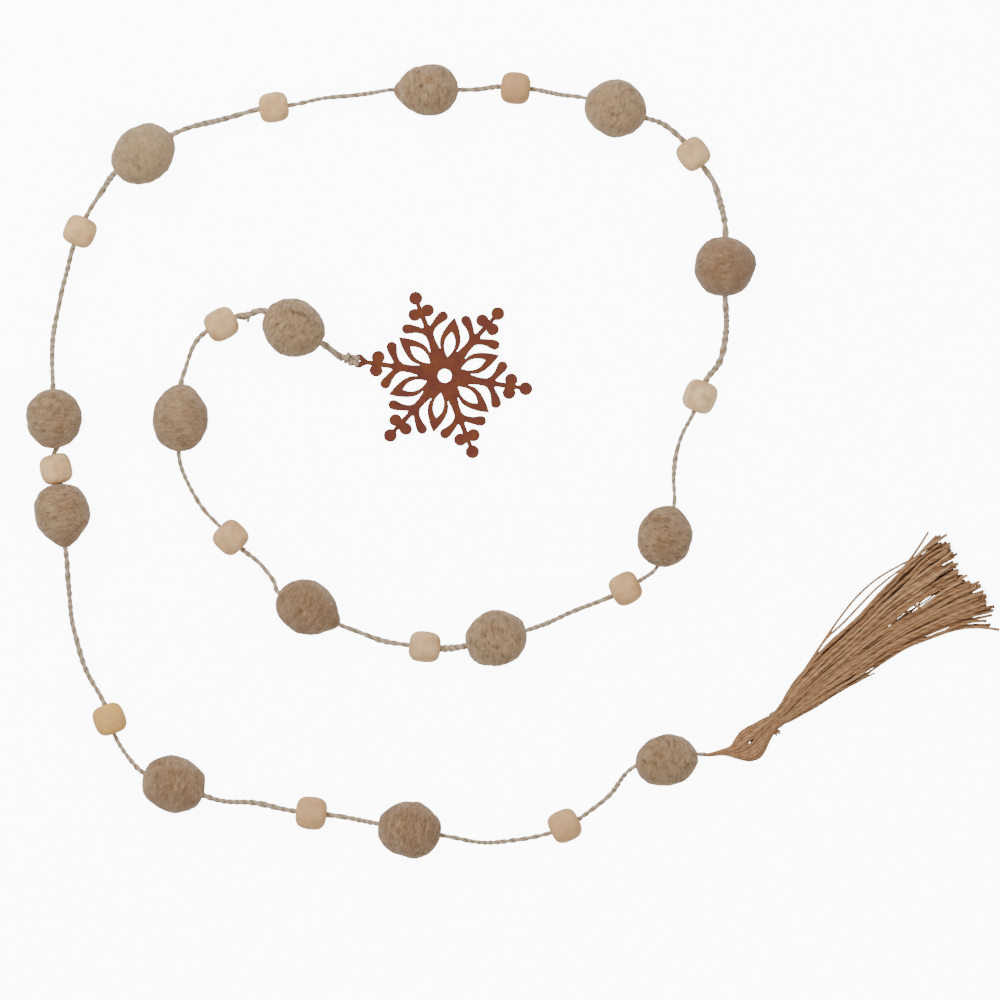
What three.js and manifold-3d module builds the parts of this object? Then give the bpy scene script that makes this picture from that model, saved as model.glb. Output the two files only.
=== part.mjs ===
// A garland laid out in a loose spiral on a table: felt balls and barrel-shaped wooden beads
// threaded in turn on jute twine, a flat metal snowflake tied to the inner end of the twine,
// and a jute tassel at its outer end. Millimetres, +Z up, the table at z = 0, seen in plan with
// +X to the right and +Y away. The origin is under the middle of the garland's box.

import * as THREE from "three";
import { mergeVertices } from "three/addons/utils/BufferGeometryUtils.js";
import Module from "manifold-3d";

const wasm = await Module();
wasm.setup();

const CLEARANCE = 0.3;

// Middle of the garland's box in the plan that all the places below are given in.
const PLAN_MIDDLE = { x: 0.81, y: -0.35 };
const DEG = Math.PI / 180;

// Twine
const CORD_DIAMETER = 2;
const CORD_SIDES = 8;
const CORD_STRAIGHT = 1;
const CORD_SAG = 0.07;
const CORD_LOWEST = CORD_DIAMETER / 2 + 0.1;
const BORE_RADIUS = CORD_DIAMETER / 2 + CLEARANCE;

// Threaded pieces
const BALL_SIDES = 14;
const BALL_ROWS = 8;
const BALL_MOUTH = 2.4;
const BEAD_SIDES = 12;
const BEAD_ROWS = 7;
const BEAD_MOUTH = 1.9;
const BEAD_SQUARENESS = 3.4;
const FLAT_SPOT = { ball: 0.5, bead: 0.2 };

// Snowflake
const FLAKE_CENTRE = { x: -33.75, y: 42.25 };
const FLAKE_HEADING = -10.3;
const FLAKE_THICKNESS = 1.2;
const FLAKE_HUB = 11.5;
const FLAKE_EYE = 3.65;
const ARM_LENGTH = 40.8;
const ARM_DISC = 3;
const ARM_FORK = 20;
const ARM_FLARE = 14;
const STEM_HALF = { hub: 5.2, flare: 2, fork: 1.5, tip: 0.8 };
const LOBE = { along: 33.2, side: 4, radius: 2.6, bar: 1.9 };
const DROP = { along: 27.6, side: 9.1, radius: 2.4, stalk: 1 };
const LEAF = { root: 5, belly: 15, shoulder: 20, tip: 29, half: 5.2 };
const OPENING = { root: 8.9, widest: 15.5, shoulder: 20, tip: 22.1, half: 3 };
const LOOP_HOLE = 1.3;
const LOOP_HOLE_OFFSET = 0.3;

// Loop and knot that tie the twine to the snowflake
const LOOP_RADIUS = 0.85;
const KNOT_LENGTH = 8.6;
const KNOT_WIDTH = 5;
const KNOT_DISTANCE = 8.2;
const KNOT_SIDE = -0.6;
const KNOT_HEIGHT = 3;
const KNOT_HEADING = 155;
const KNOT_PITCH = 22;
const TIP_LIFT = 2 * LOOP_RADIUS + 0.6;

// Small knot in the twine between the first bead and the first ball
const STOP_KNOT = { x: -132.2, y: 72.8, length: 3.6, width: 4.8 };

// Tassel
const TASSEL_NECK = { x: 131.5, y: -129 };
const TASSEL_HEADING = 34.5;
const TASSEL_LENGTH = 120;
const TASSEL_CORD = { gap: 0.5, heading: 8, pitch: -12 };
const HEAD_SIDES = 12;
const HEAD_SQUARENESS = 0.62;
const HEAD_END = 27;
const HEAD_EYE = { along: -16.9, middle: -2.8, radius: 0.9 };
const ROOT_START = 21;
const STRAND_WIDTH = 1.6;
const STRAND_STEPS = 3;
const STRAND_GAP = 0.35;
const LAYER_RISE = { root: 1.65, tip: 1.45 };
const TIP_JITTER = 4.5;
const TIE_THICKNESS = 1;
const TIE_WIDTH = 2.4;
const TIE_KNOT = { along: -0.4, middle: -6.4, height: 2.4, length: 3.6, width: 2.6 };

// Share of a head section's outline that the table flattens.
const SECTION_CUT = 0.15;

// Every threaded piece, in order from the snowflake to the tassel. Columns: kind; x and y of its
// centre; the heading in which the twine runs through it, in degrees from +X; its length along
// the twine and its width across; how far felt is drawn out to a tip where the twine goes in
// and where it comes out; its pitch, nose up, in degrees; its lift above the table; and the
// points in plan that the twine passes on the way to the next piece.
const PIECES = [
  {
    kind: "ball", x: -109, y: 66.2, heading: 153, length: 31, width: 29.4, pitch: 6,
    via: [[STOP_KNOT.x, STOP_KNOT.y]],
  },
  {
    kind: "bead", x: -145.5, y: 68.2, heading: 207, length: 15, width: 17.4,
    via: [[-159, 58], [-163.6, 46]],
  },
  {
    kind: "ball", x: -166, y: 20.7, heading: 268, length: 30, width: 27.2, tipIn: 1,
    via: [[-165, -5], [-157, -21]],
  },
  { kind: "bead", x: -140.7, y: -38.7, heading: 315, length: 15, width: 17.4, via: [[-125, -54]] },
  {
    kind: "ball", x: -102.8, y: -73.2, heading: 333, length: 30, width: 27.4, tipOut: 3.5,
    via: [[-76, -86.2], [-63, -90.6]],
  },
  { kind: "bead", x: -43.7, y: -93.3, heading: 355, length: 15, width: 15.4 },
  { kind: "ball", x: -8.5, y: -89, heading: 14, length: 31, width: 27.4, via: [[28, -76.5]] },
  { kind: "bead", x: 56.5, y: -64.3, heading: 28, length: 14.6, width: 16 },
  {
    kind: "ball", x: 76.5, y: -38, heading: 74, length: 29.4, width: 27.2, tipOut: 1.5,
    via: [[80.5, -7.5], [84, 11]],
  },
  { kind: "bead", x: 94, y: 32, heading: 68, length: 14.6, width: 17, via: [[103.2, 49], [107, 65]] },
  {
    kind: "ball", x: 105.7, y: 96.5, heading: 90, length: 30.2, width: 29.6,
    via: [[105, 125], [101, 138]],
  },
  { kind: "bead", x: 90.5, y: 153.2, heading: 126, length: 15, width: 17, via: [[76, 167.4]] },
  {
    kind: "ball", x: 51.5, y: 176, heading: 162, length: 28.6, width: 28.6, tipIn: 0.8,
    via: [[24, 183]],
  },
  { kind: "bead", x: 1.7, y: 186, heading: 175, length: 15, width: 16, via: [[-16, 185.7]] },
  {
    kind: "ball", x: -41.5, y: 185.2, heading: 180, length: 28, width: 26, tipOut: 3,
    via: [[-71, 183.6], [-91, 181.4]],
  },
  {
    kind: "bead", x: -119, y: 176.5, heading: 189, length: 15, width: 15.2,
    via: [[-141, 171.8], [-158.5, 167]],
  },
  { kind: "ball", x: -184.5, y: 153.5, heading: 214, length: 30.6, width: 30.8, via: [[-206, 133.5]] },
  {
    kind: "bead", x: -216, y: 114.5, heading: 246, length: 15, width: 16,
    via: [[-223.6, 91], [-228.4, 71], [-230, 52]],
  },
  { kind: "ball", x: -229, y: 20.7, heading: 272, length: 29.2, width: 27.6, pitch: -10 },
  { kind: "bead", x: -227.85, y: -3.9, heading: 275, length: 15, width: 15.4, lift: 3 },
  {
    kind: "ball", x: -225.6, y: -26.2, heading: 276, length: 28.4, width: 27.6, tipOut: 3.5, pitch: 11,
    via: [[-221, -65], [-218.4, -86], [-212, -106]],
  },
  { kind: "bead", x: -201.2, y: -129.5, heading: 290, length: 15, width: 16.6, via: [[-192, -149]] },
  {
    kind: "ball", x: -169.5, y: -162, heading: 339, length: 30.4, width: 28.4,
    via: [[-143.5, -170.2], [-125, -172]],
  },
  { kind: "bead", x: -100.2, y: -176.5, heading: 353, length: 14.6, width: 16, via: [[-81, -178.7]] },
  {
    kind: "ball", x: -51.5, y: -185, heading: 350, length: 31.6, width: 28,
    via: [[-18.5, -190.7], [1.5, -190]],
  },
  { kind: "bead", x: 26.5, y: -183, heading: 25, length: 14.2, width: 17, via: [[48, -167.5]] },
  { kind: "ball", x: 77.5, y: -150.2, heading: 16, length: 30.4, width: 25.6, pitch: -14 },
];

// The tassel in plan and its height, at stations along its axis measured from the neck: the
// sideways middle, the half width, the underside and the height over it. The first rows are
// the cord's end and the eye-shaped head, the next the neck, and the rest the skirt.
const TASSEL_FORM = [
  { along: -31.4, middle: 0.1, half: 1.3, base: 2.9, height: 2.6 },
  { along: -26, middle: -2.7, half: 4.3, base: 1.2, height: 5.2 },
  { along: -22.5, middle: -3.6, half: 6.8, base: 0, height: 7 },
  { along: -18.5, middle: -3.4, half: 8.2, base: 0, height: 7.6 },
  { along: -14.5, middle: -3, half: 7.8, base: 0, height: 7.6 },
  { along: -10, middle: -2, half: 6.1, base: 0, height: 7.4 },
  { along: -6, middle: -1.2, half: 4.8, base: 0.6, height: 6.6 },
  { along: -2.4, middle: -0.9, half: 3.5, base: 1.3, height: 5.6 },
  { along: 2.4, middle: -0.9, half: 3.5, base: 1.3, height: 5.6 },
  { along: 6.5, middle: -0.4, half: 5.4, base: 0.6, height: 7 },
  { along: 11, middle: 0.6, half: 6.9, base: 0, height: 8 },
  { along: 17, middle: 1.7, half: 8.6, base: 0, height: 8.2 },
  { along: 27, middle: 2.9, half: 10.2, base: 0, height: 8.2 },
  { along: 42, middle: 4.4, half: 12.2, base: 0, height: 8 },
  { along: 59, middle: 5.3, half: 13.9, base: 0, height: 7.8 },
  { along: 80, middle: 6, half: 17.8, base: 0, height: 7.6 },
  { along: 101, middle: 4.6, half: 22.6, base: 0, height: 7.4 },
  { along: 120, middle: 1.4, half: 27.4, base: 0, height: 7.2 },
];
const HEAD_ROWS = TASSEL_FORM.filter((row) => row.along <= HEAD_END).length;

// The skirt's layers from the table up: strands in each, and the share of the skirt's width
// that they fill at the root and at the tips.
const LAYERS = [
  { strands: 13, rootSpread: 0.8, tipSpread: 1 },
  { strands: 14, rootSpread: 0.92, tipSpread: 0.96 },
  { strands: 14, rootSpread: 0.93, tipSpread: 0.9 },
  { strands: 13, rootSpread: 0.88, tipSpread: 0.8 },
  { strands: 11, rootSpread: 0.72, tipSpread: 0.66 },
];

// Stray yarns beside the skirt, as stations along the axis and sideways: two bowed thin ones on
// its far edge, and a short one on its near edge.
const STRAYS = [
  { width: 0.9, path: [[22, 9], [42, 17.6], [62, 27.6], [84, 29.4], [112, 29.2]] },
  { width: 0.9, path: [[24, 9], [44, 17.8], [64, 21.6], [84, 25.6], [104, 28.6]] },
  { width: 1.5, path: [[18, -5], [30, -7.2], [42, -8.8], [54, -9.6]] },
];

const COLOURS = {
  twine: { color: 0xa58c70, roughness: 0.95, metalness: 0 },
  felt: { color: 0x9f8871, roughness: 1, metalness: 0 },
  wood: { color: 0xd4bca2, roughness: 0.6, metalness: 0 },
  rust: { color: 0x87402c, roughness: 0.75, metalness: 0.3 },
  yarn: { color: 0xa97f5a, roughness: 0.95, metalness: 0 },
};

const materials = {};
for (const [name, settings] of Object.entries(COLOURS)) {
  materials[name] = new THREE.MeshStandardMaterial({ name, ...settings });
}

// A closed geometry as a solid, with its shared vertices merged.
function solidFrom(geometry) {
  const bare = geometry.clone();
  bare.deleteAttribute("normal");
  bare.deleteAttribute("uv");
  const merged = mergeVertices(bare, 1e-4);
  return new wasm.Manifold(
    new wasm.Mesh({
      numProp: 3,
      vertProperties: merged.attributes.position.array,
      triVerts: new Uint32Array(merged.index.array),
    }),
  );
}

function geometryFrom(solid) {
  const mesh = solid.getMesh();
  const geometry = new THREE.BufferGeometry();
  geometry.setAttribute("position", new THREE.BufferAttribute(mesh.vertProperties, 3));
  geometry.setIndex(new THREE.BufferAttribute(mesh.triVerts, 1));
  geometry.computeVertexNormals();
  return geometry;
}

function joined(geometries) {
  const solids = geometries.map(solidFrom);
  return solids.reduce((whole, next) => whole.add(next));
}

// Numbers between 0 and 1 in an order that is the same every time.
function steadyRandom(seed) {
  let state = seed;
  return () => {
    state = (state * 1664525 + 1013904223) % 4294967296;
    return state / 4294967296;
  };
}

function headingVector(heading, pitch = 0) {
  return new THREE.Vector3(
    Math.cos(heading * DEG) * Math.cos(pitch * DEG),
    Math.sin(heading * DEG) * Math.cos(pitch * DEG),
    Math.sin(pitch * DEG),
  );
}

// The height of a piece's centre when its flat spot is on the table.
function restHeight(piece) {
  const pitch = (piece.pitch ?? 0) * DEG;
  const ends = (piece.length / 2) * Math.sin(pitch);
  const sides = (piece.width / 2) * Math.cos(pitch);
  return Math.hypot(ends, sides) - FLAT_SPOT[piece.kind] + (piece.lift ?? 0);
}

function centreOf(piece) {
  return new THREE.Vector3(piece.x, piece.y, restHeight(piece));
}

// Lathe profile of a felt ball with its bore: an ellipse whose ends may be drawn out to a tip.
// LatheGeometry turns about Y, so a profile point is (radius, along).
function ballProfile(piece) {
  const first = Math.asin(BALL_MOUTH / (piece.width / 2));
  const outline = [];
  for (let i = 0; i <= BALL_ROWS; i += 1) {
    const angle = first + ((Math.PI - 2 * first) * i) / BALL_ROWS;
    const cosine = Math.cos(angle);
    const tip = cosine > 0 ? (piece.tipIn ?? 0) : (piece.tipOut ?? 0);
    const along = -(piece.length / 2) * cosine - Math.sign(cosine) * tip * cosine ** 6;
    outline.push(new THREE.Vector2((piece.width / 2) * Math.sin(angle), along));
  }
  return outline;
}

// Lathe profile of a barrel bead: a superellipse with flat ends.
function beadProfile(piece) {
  const power = 2 / BEAD_SQUARENESS;
  const first = Math.asin((BEAD_MOUTH / (piece.width / 2)) ** (1 / power));
  const outline = [];
  for (let i = 0; i <= BEAD_ROWS; i += 1) {
    const angle = first + ((Math.PI - 2 * first) * i) / BEAD_ROWS;
    const cosine = Math.cos(angle);
    const along = -(piece.length / 2) * Math.sign(cosine) * Math.abs(cosine) ** power;
    outline.push(new THREE.Vector2((piece.width / 2) * Math.sin(angle) ** power, along));
  }
  return outline;
}

// A bored piece turned about the twine, with its flat spot cut level with the table.
function threadedMesh(name, piece) {
  const isBall = piece.kind === "ball";
  const outline = isBall ? ballProfile(piece) : beadProfile(piece);
  const start = outline[0];
  const end = outline[outline.length - 1];
  const profile = [
    new THREE.Vector2(BORE_RADIUS, start.y),
    ...outline,
    new THREE.Vector2(BORE_RADIUS, end.y),
    new THREE.Vector2(BORE_RADIUS, start.y),
  ];
  const geometry = new THREE.LatheGeometry(profile, isBall ? BALL_SIDES : BEAD_SIDES);
  geometry.rotateZ(-Math.PI / 2);
  const mesh = new THREE.Mesh(geometry, isBall ? materials.felt : materials.wood);
  mesh.name = name;
  mesh.position.copy(centreOf(piece));
  mesh.rotation.set(0, -(piece.pitch ?? 0) * DEG, piece.heading * DEG, "ZYX");
  mesh.updateMatrix();
  const size = 2 * (piece.length + piece.width);
  const table = new THREE.BoxGeometry(size, size, size);
  table.translate(piece.x, piece.y, -size / 2);
  table.applyMatrix4(mesh.matrix.clone().invert());
  mesh.geometry = geometryFrom(solidFrom(geometry).subtract(solidFrom(table)));
  return mesh;
}

// Where the twine is straight on each side of a piece.
function mouths(piece) {
  const centre = centreOf(piece);
  const forward = headingVector(piece.heading, piece.pitch);
  const before = piece.length / 2 + (piece.tipIn ?? 0) + CORD_STRAIGHT;
  const after = piece.length / 2 + (piece.tipOut ?? 0) + CORD_STRAIGHT;
  return {
    forward,
    entry: centre.clone().addScaledVector(forward, -before),
    exit: centre.clone().addScaledVector(forward, after),
  };
}

// Points of one free stretch of twine: it sags in a shallow parabola between its two ends, and
// no lower than the table lets it.
function freeStretch(from, to, via) {
  const plan = [from, ...via.map(([x, y]) => new THREE.Vector3(x, y, 0)), to];
  const lengths = [0];
  for (let i = 1; i < plan.length; i += 1) {
    const step = Math.hypot(plan[i].x - plan[i - 1].x, plan[i].y - plan[i - 1].y);
    lengths.push(lengths[i - 1] + step);
  }
  const total = lengths[lengths.length - 1];
  return plan.slice(1, -1).map((point, i) => {
    const part = lengths[i + 1] / total;
    const line = THREE.MathUtils.lerp(from.z, to.z, part);
    const sag = 4 * CORD_SAG * total * part * (1 - part);
    return new THREE.Vector3(point.x, point.y, Math.max(line - sag, CORD_LOWEST));
  });
}

// Stations of the whole twine, each with its place and direction.
function cordStations(start, finish) {
  const ends = PIECES.map(mouths);
  const stations = [{ at: start.at, along: start.along }];
  const addStretch = (from, to, via) => {
    const points = freeStretch(from, to, via);
    const all = [from, ...points, to];
    points.forEach((at, i) => {
      stations.push({ at, along: all[i + 2].clone().sub(all[i]).normalize() });
    });
  };
  ends.forEach((mouth, i) => {
    const next = ends[i + 1];
    stations.push({ at: mouth.entry, along: mouth.forward });
    const touching = next && mouth.exit.distanceTo(next.entry) < 2 * CORD_STRAIGHT;
    if (touching) {
      const middle = mouth.exit.clone().lerp(next.entry, 0.5);
      stations.push({ at: middle, along: mouth.forward });
      next.entry.copy(middle);
      return;
    }
    stations.push({ at: mouth.exit, along: mouth.forward });
    if (next) {
      addStretch(mouth.exit, next.entry, PIECES[i].via ?? []);
    }
  });
  stations.push({ at: finish.at, along: finish.along });
  return stations.filter((station, i) => i === 0 || station.at !== stations[i - 1].at);
}

// A path whose rings fall on given stations.
class StationPath extends THREE.Curve {
  constructor(stations) {
    super();
    this.stations = stations;
  }

  nearest(u) {
    return this.stations[Math.round(u * (this.stations.length - 1))];
  }

  getPointAt(u, target = new THREE.Vector3()) {
    return target.copy(this.nearest(u).at);
  }

  getTangentAt(u, target = new THREE.Vector3()) {
    return target.copy(this.nearest(u).along);
  }
}

function roundSection(radius, sides) {
  const section = new THREE.Shape();
  for (let i = 0; i < sides; i += 1) {
    const angle = (2 * Math.PI * (i + 0.5)) / sides;
    const x = radius * Math.cos(angle);
    const y = radius * Math.sin(angle);
    if (i === 0) {
      section.moveTo(x, y);
    } else {
      section.lineTo(x, y);
    }
  }
  section.closePath();
  return section;
}

function tube(path, steps, radius, sides) {
  return new THREE.ExtrudeGeometry(roundSection(radius, sides), {
    steps,
    extrudePath: path,
    bevelEnabled: false,
  });
}

// Outlines of the snowflake, all in its own frame, with the arm or leaf along +X: discs, the
// stem that flares into the hub, the drops at the fork, the lobes near the tip, and the leaves
// between the arms with their pointed openings.
function discShape(x, y, radius) {
  const shape = new THREE.Shape();
  shape.absarc(x, y, radius, 0, 2 * Math.PI, false);
  return shape;
}

function stemShape() {
  const shape = new THREE.Shape();
  const start = FLAKE_HUB - STEM_HALF.hub + 1.2;
  shape.moveTo(start, -STEM_HALF.hub);
  shape.quadraticCurveTo(ARM_FLARE, -STEM_HALF.flare, ARM_FORK, -STEM_HALF.fork);
  shape.lineTo(ARM_LENGTH, -STEM_HALF.tip);
  shape.lineTo(ARM_LENGTH, STEM_HALF.tip);
  shape.lineTo(ARM_FORK, STEM_HALF.fork);
  shape.quadraticCurveTo(ARM_FLARE, STEM_HALF.flare, start, STEM_HALF.hub);
  shape.closePath();
  return shape;
}

// A bar that swells from one round end to another.
function taperedBar(from, to, startRadius, endRadius) {
  const direction = Math.atan2(to[1] - from[1], to[0] - from[0]);
  const length = Math.hypot(to[0] - from[0], to[1] - from[1]);
  const lean = Math.acos((startRadius - endRadius) / length);
  const shape = new THREE.Shape();
  const back = direction - lean + 2 * Math.PI;
  shape.absarc(from[0], from[1], startRadius, direction + lean, back, false);
  shape.absarc(to[0], to[1], endRadius, direction - lean, direction + lean, false);
  shape.closePath();
  return shape;
}

function leafShape() {
  const shape = new THREE.Shape();
  const { root, belly, shoulder, tip, half } = LEAF;
  const rise = (root + tip) / 4;
  const fall = (shoulder + tip) / 2;
  shape.moveTo(root, 0);
  shape.bezierCurveTo(rise, half * 0.9, belly, half * 1.25, shoulder, half * 0.9);
  shape.quadraticCurveTo(fall, half * 0.5, tip, 0);
  shape.quadraticCurveTo(fall, -half * 0.5, shoulder, -half * 0.9);
  shape.bezierCurveTo(belly, -half * 1.25, rise, -half * 0.9, root, 0);
  return shape;
}

function leafHoleShape() {
  const shape = new THREE.Shape();
  const { root, widest, shoulder, tip, half } = OPENING;
  const rise = (root + widest) / 2;
  shape.moveTo(root, 0);
  shape.quadraticCurveTo(rise, half * 0.9, widest, half);
  shape.quadraticCurveTo(shoulder, half, tip, 0);
  shape.quadraticCurveTo(shoulder, -half, widest, -half);
  shape.quadraticCurveTo(rise, -half * 0.9, root, 0);
  return shape;
}

function plate(shape, curveSegments) {
  return new THREE.ExtrudeGeometry(shape, {
    depth: FLAKE_THICKNESS,
    bevelEnabled: false,
    curveSegments,
  });
}

function armPlates() {
  const plates = [plate(stemShape(), 3)];
  for (const side of [-1, 1]) {
    const root = [ARM_FORK - DROP.stalk / 2, (DROP.stalk / 2) * side];
    const end = [DROP.along, DROP.side * side];
    const waist = [(root[0] + end[0]) / 2, (root[1] + end[1]) / 2];
    plates.push(plate(taperedBar(root, waist, DROP.stalk, DROP.stalk), 1));
    plates.push(plate(taperedBar(waist, end, DROP.stalk, DROP.radius), 3));
    plates.push(plate(discShape(LOBE.along, LOBE.side * side, LOBE.radius), 5));
  }
  const lobes = [[LOBE.along, -LOBE.side], [LOBE.along, LOBE.side]];
  plates.push(plate(taperedBar(...lobes, LOBE.bar, LOBE.bar), 1));
  plates.push(plate(discShape(ARM_LENGTH, 0, ARM_DISC), 6));
  return plates;
}

// The whole snowflake, flat on its own XY plane, with the pierced disc at the end of -X.
function snowflakeSolid() {
  let solid = solidFrom(plate(discShape(0, 0, FLAKE_HUB), 9));
  const arm = joined(armPlates());
  const opening = plate(leafHoleShape(), 3);
  opening.scale(1, 1, 3);
  opening.translate(0, 0, -FLAKE_THICKNESS);
  const leafOpening = solidFrom(opening);
  const leaf = solidFrom(plate(leafShape(), 3));
  for (let i = 0; i < 6; i += 1) {
    solid = solid.add(arm.rotate([0, 0, 60 * i]));
    solid = solid.add(leaf.rotate([0, 0, 60 * i + 30]));
    solid = solid.subtract(leafOpening.rotate([0, 0, 60 * i + 30]));
  }
  const through = (x, radius, sides) => {
    const drill = new THREE.CylinderGeometry(radius, radius, 3 * FLAKE_THICKNESS, sides);
    drill.rotateX(Math.PI / 2);
    drill.translate(x, 0, FLAKE_THICKNESS / 2);
    return solidFrom(drill);
  };
  solid = solid.subtract(through(0, FLAKE_EYE, 20));
  return solid.subtract(through(-ARM_LENGTH - LOOP_HOLE_OFFSET, LOOP_HOLE, 10));
}

// The loop under the pierced disc lifts that side, and the opposite tip rests on the table.
function snowflakeMesh() {
  const reach = ARM_LENGTH + ARM_DISC;
  const tilt = Math.asin(TIP_LIFT / (reach + ARM_LENGTH));
  const mesh = new THREE.Mesh(geometryFrom(snowflakeSolid()), materials.rust);
  mesh.name = "snowflake";
  mesh.position.set(FLAKE_CENTRE.x, FLAKE_CENTRE.y, reach * Math.sin(tilt));
  mesh.rotation.set(0, tilt, FLAKE_HEADING * DEG, "ZYX");
  return mesh;
}

// Place of a point beside the pierced disc: outwards along its arm, sideways, and up.
function besideDisc(out, side, z) {
  const outward = headingVector(FLAKE_HEADING + 180);
  const across = headingVector(FLAKE_HEADING + 270);
  return new THREE.Vector3(FLAKE_CENTRE.x, FLAKE_CENTRE.y, z)
    .addScaledVector(outward, ARM_LENGTH + out)
    .addScaledVector(across, side);
}

const KNOT_CENTRE = besideDisc(KNOT_DISTANCE, KNOT_SIDE, KNOT_HEIGHT);

// A round lump for a knot, drawn out along X.
function knotLump(length, width) {
  const lump = new THREE.SphereGeometry(0.5, 10, 7);
  lump.rotateZ(Math.PI / 2);
  lump.scale(length, width, width);
  return lump;
}

function snowflakeKnotMesh() {
  const disc = TIP_LIFT + FLAKE_THICKNESS / 2;
  const over = disc + FLAKE_THICKNESS / 2 + LOOP_RADIUS + 0.6;
  const loop = new THREE.CatmullRomCurve3([
    besideDisc(7, 0, disc + 0.4),
    besideDisc(4.8, 0, over - 0.4),
    besideDisc(2.4, 0, over),
    besideDisc(0.7, 0, over - 0.7),
    besideDisc(LOOP_HOLE_OFFSET, 0, disc),
    besideDisc(0.7, 0, LOOP_RADIUS + 0.7),
    besideDisc(2.4, 0, LOOP_RADIUS + 0.1),
    besideDisc(4.8, 0, LOOP_RADIUS + 0.3),
    besideDisc(7, 0, disc - 0.4),
  ]);
  const lump = knotLump(KNOT_LENGTH, KNOT_WIDTH);
  lump.rotateY(-KNOT_PITCH * DEG);
  lump.rotateZ(KNOT_HEADING * DEG);
  lump.translate(KNOT_CENTRE.x, KNOT_CENTRE.y, KNOT_CENTRE.z);
  const mesh = new THREE.Mesh(
    geometryFrom(joined([lump, tube(loop, 16, LOOP_RADIUS, 6)])),
    materials.twine,
  );
  mesh.name = "snowflake_knot";
  return mesh;
}

// A bored lump on the twine.
function stopKnotMesh(station) {
  const profile = [
    new THREE.Vector2(BORE_RADIUS, -STOP_KNOT.length / 2),
    new THREE.Vector2(STOP_KNOT.width * 0.38, -STOP_KNOT.length * 0.4),
    new THREE.Vector2(STOP_KNOT.width / 2, 0),
    new THREE.Vector2(STOP_KNOT.width * 0.38, STOP_KNOT.length * 0.4),
    new THREE.Vector2(BORE_RADIUS, STOP_KNOT.length / 2),
    new THREE.Vector2(BORE_RADIUS, -STOP_KNOT.length / 2),
  ];
  const geometry = new THREE.LatheGeometry(profile, BEAD_SIDES);
  geometry.rotateZ(-Math.PI / 2);
  const mesh = new THREE.Mesh(geometry, materials.twine);
  mesh.name = "stop_knot";
  mesh.position.copy(station.at);
  mesh.quaternion.setFromUnitVectors(new THREE.Vector3(1, 0, 0), station.along);
  return mesh;
}

// The tassel's form at a station along its axis.
function tasselForm(along) {
  const last = TASSEL_FORM.length - 2;
  let i = TASSEL_FORM.findIndex((row) => row.along > along) - 1;
  i = i < 0 ? last : Math.min(i, last);
  const from = TASSEL_FORM[i];
  const to = TASSEL_FORM[i + 1];
  const part = (along - from.along) / (to.along - from.along);
  const form = {};
  for (const column of ["middle", "half", "base", "height"]) {
    form[column] = THREE.MathUtils.lerp(from[column], to[column], part);
  }
  return form;
}

// A point of a section's outline: a rounded square, flattened where it lies on the table.
function sectionPoint(form, x, y) {
  const side = Math.sign(x) * Math.abs(x) ** HEAD_SQUARENESS;
  const rise = Math.sign(y) * Math.abs(y) ** HEAD_SQUARENESS;
  const height = Math.max(0, ((1 + SECTION_CUT) * (1 + rise)) / 2 - SECTION_CUT);
  return [form.middle + form.half * side, form.base + form.height * height];
}

// The head, its cord end and neck, and the bundled start of the skirt, along +X.
function tasselHead() {
  const head = new THREE.CylinderGeometry(1, 1, HEAD_ROWS - 1, HEAD_SIDES, HEAD_ROWS - 1);
  head.rotateY(Math.PI / HEAD_SIDES);
  const points = head.attributes.position;
  for (let i = 0; i < points.count; i += 1) {
    const row = TASSEL_FORM[Math.round(points.getY(i) + (HEAD_ROWS - 1) / 2)];
    const [side, height] = sectionPoint(row, points.getZ(i), points.getX(i));
    points.setXYZ(i, row.along, side, height);
  }
  return head;
}

// A strand of four sides through points given by a function of the distance along it from 0
// to 1, which gives the place along, the place sideways, the underside, width and thickness.
function strand(steps, at) {
  const box = new THREE.BoxGeometry(1, 1, 1, steps, 1, 1);
  const points = box.attributes.position;
  for (let i = 0; i < points.count; i += 1) {
    const place = at(points.getX(i) + 0.5);
    points.setXYZ(
      i,
      place.along,
      place.side + place.width * points.getY(i),
      place.base + place.thickness * (points.getZ(i) + 0.5),
    );
  }
  return box;
}

// One yarn of the skirt: it keeps its share of the skirt's width all the way to its tip.
function skirtStrand(layer, index, random) {
  const { strands, rootSpread, tipSpread } = LAYERS[layer];
  const share = (2 * index) / (strands - 1) - 1;
  const tip = TASSEL_LENGTH - TIP_JITTER * random();
  const drift = (random() - 0.5) * 0.5;
  return strand(STRAND_STEPS, (u) => {
    const along = ROOT_START + (tip - ROOT_START) * u;
    const form = tasselForm(along);
    const spread = THREE.MathUtils.lerp(rootSpread, tipSpread, u);
    const pitch = (2 * form.half * spread) / (strands - 1);
    const rise = THREE.MathUtils.lerp(LAYER_RISE.root, LAYER_RISE.tip, u);
    return {
      along,
      side: form.middle + form.half * spread * share + drift * u * (pitch - STRAND_WIDTH),
      base: layer * rise,
      width: Math.min(STRAND_WIDTH, pitch - STRAND_GAP),
      thickness: rise - STRAND_GAP,
    };
  });
}

function strayStrand({ width, path }) {
  const steps = path.length - 1;
  return strand(steps, (u) => {
    const [along, side] = path[Math.round(u * steps)];
    return { along, side, base: 0, width, thickness: width };
  });
}

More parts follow.
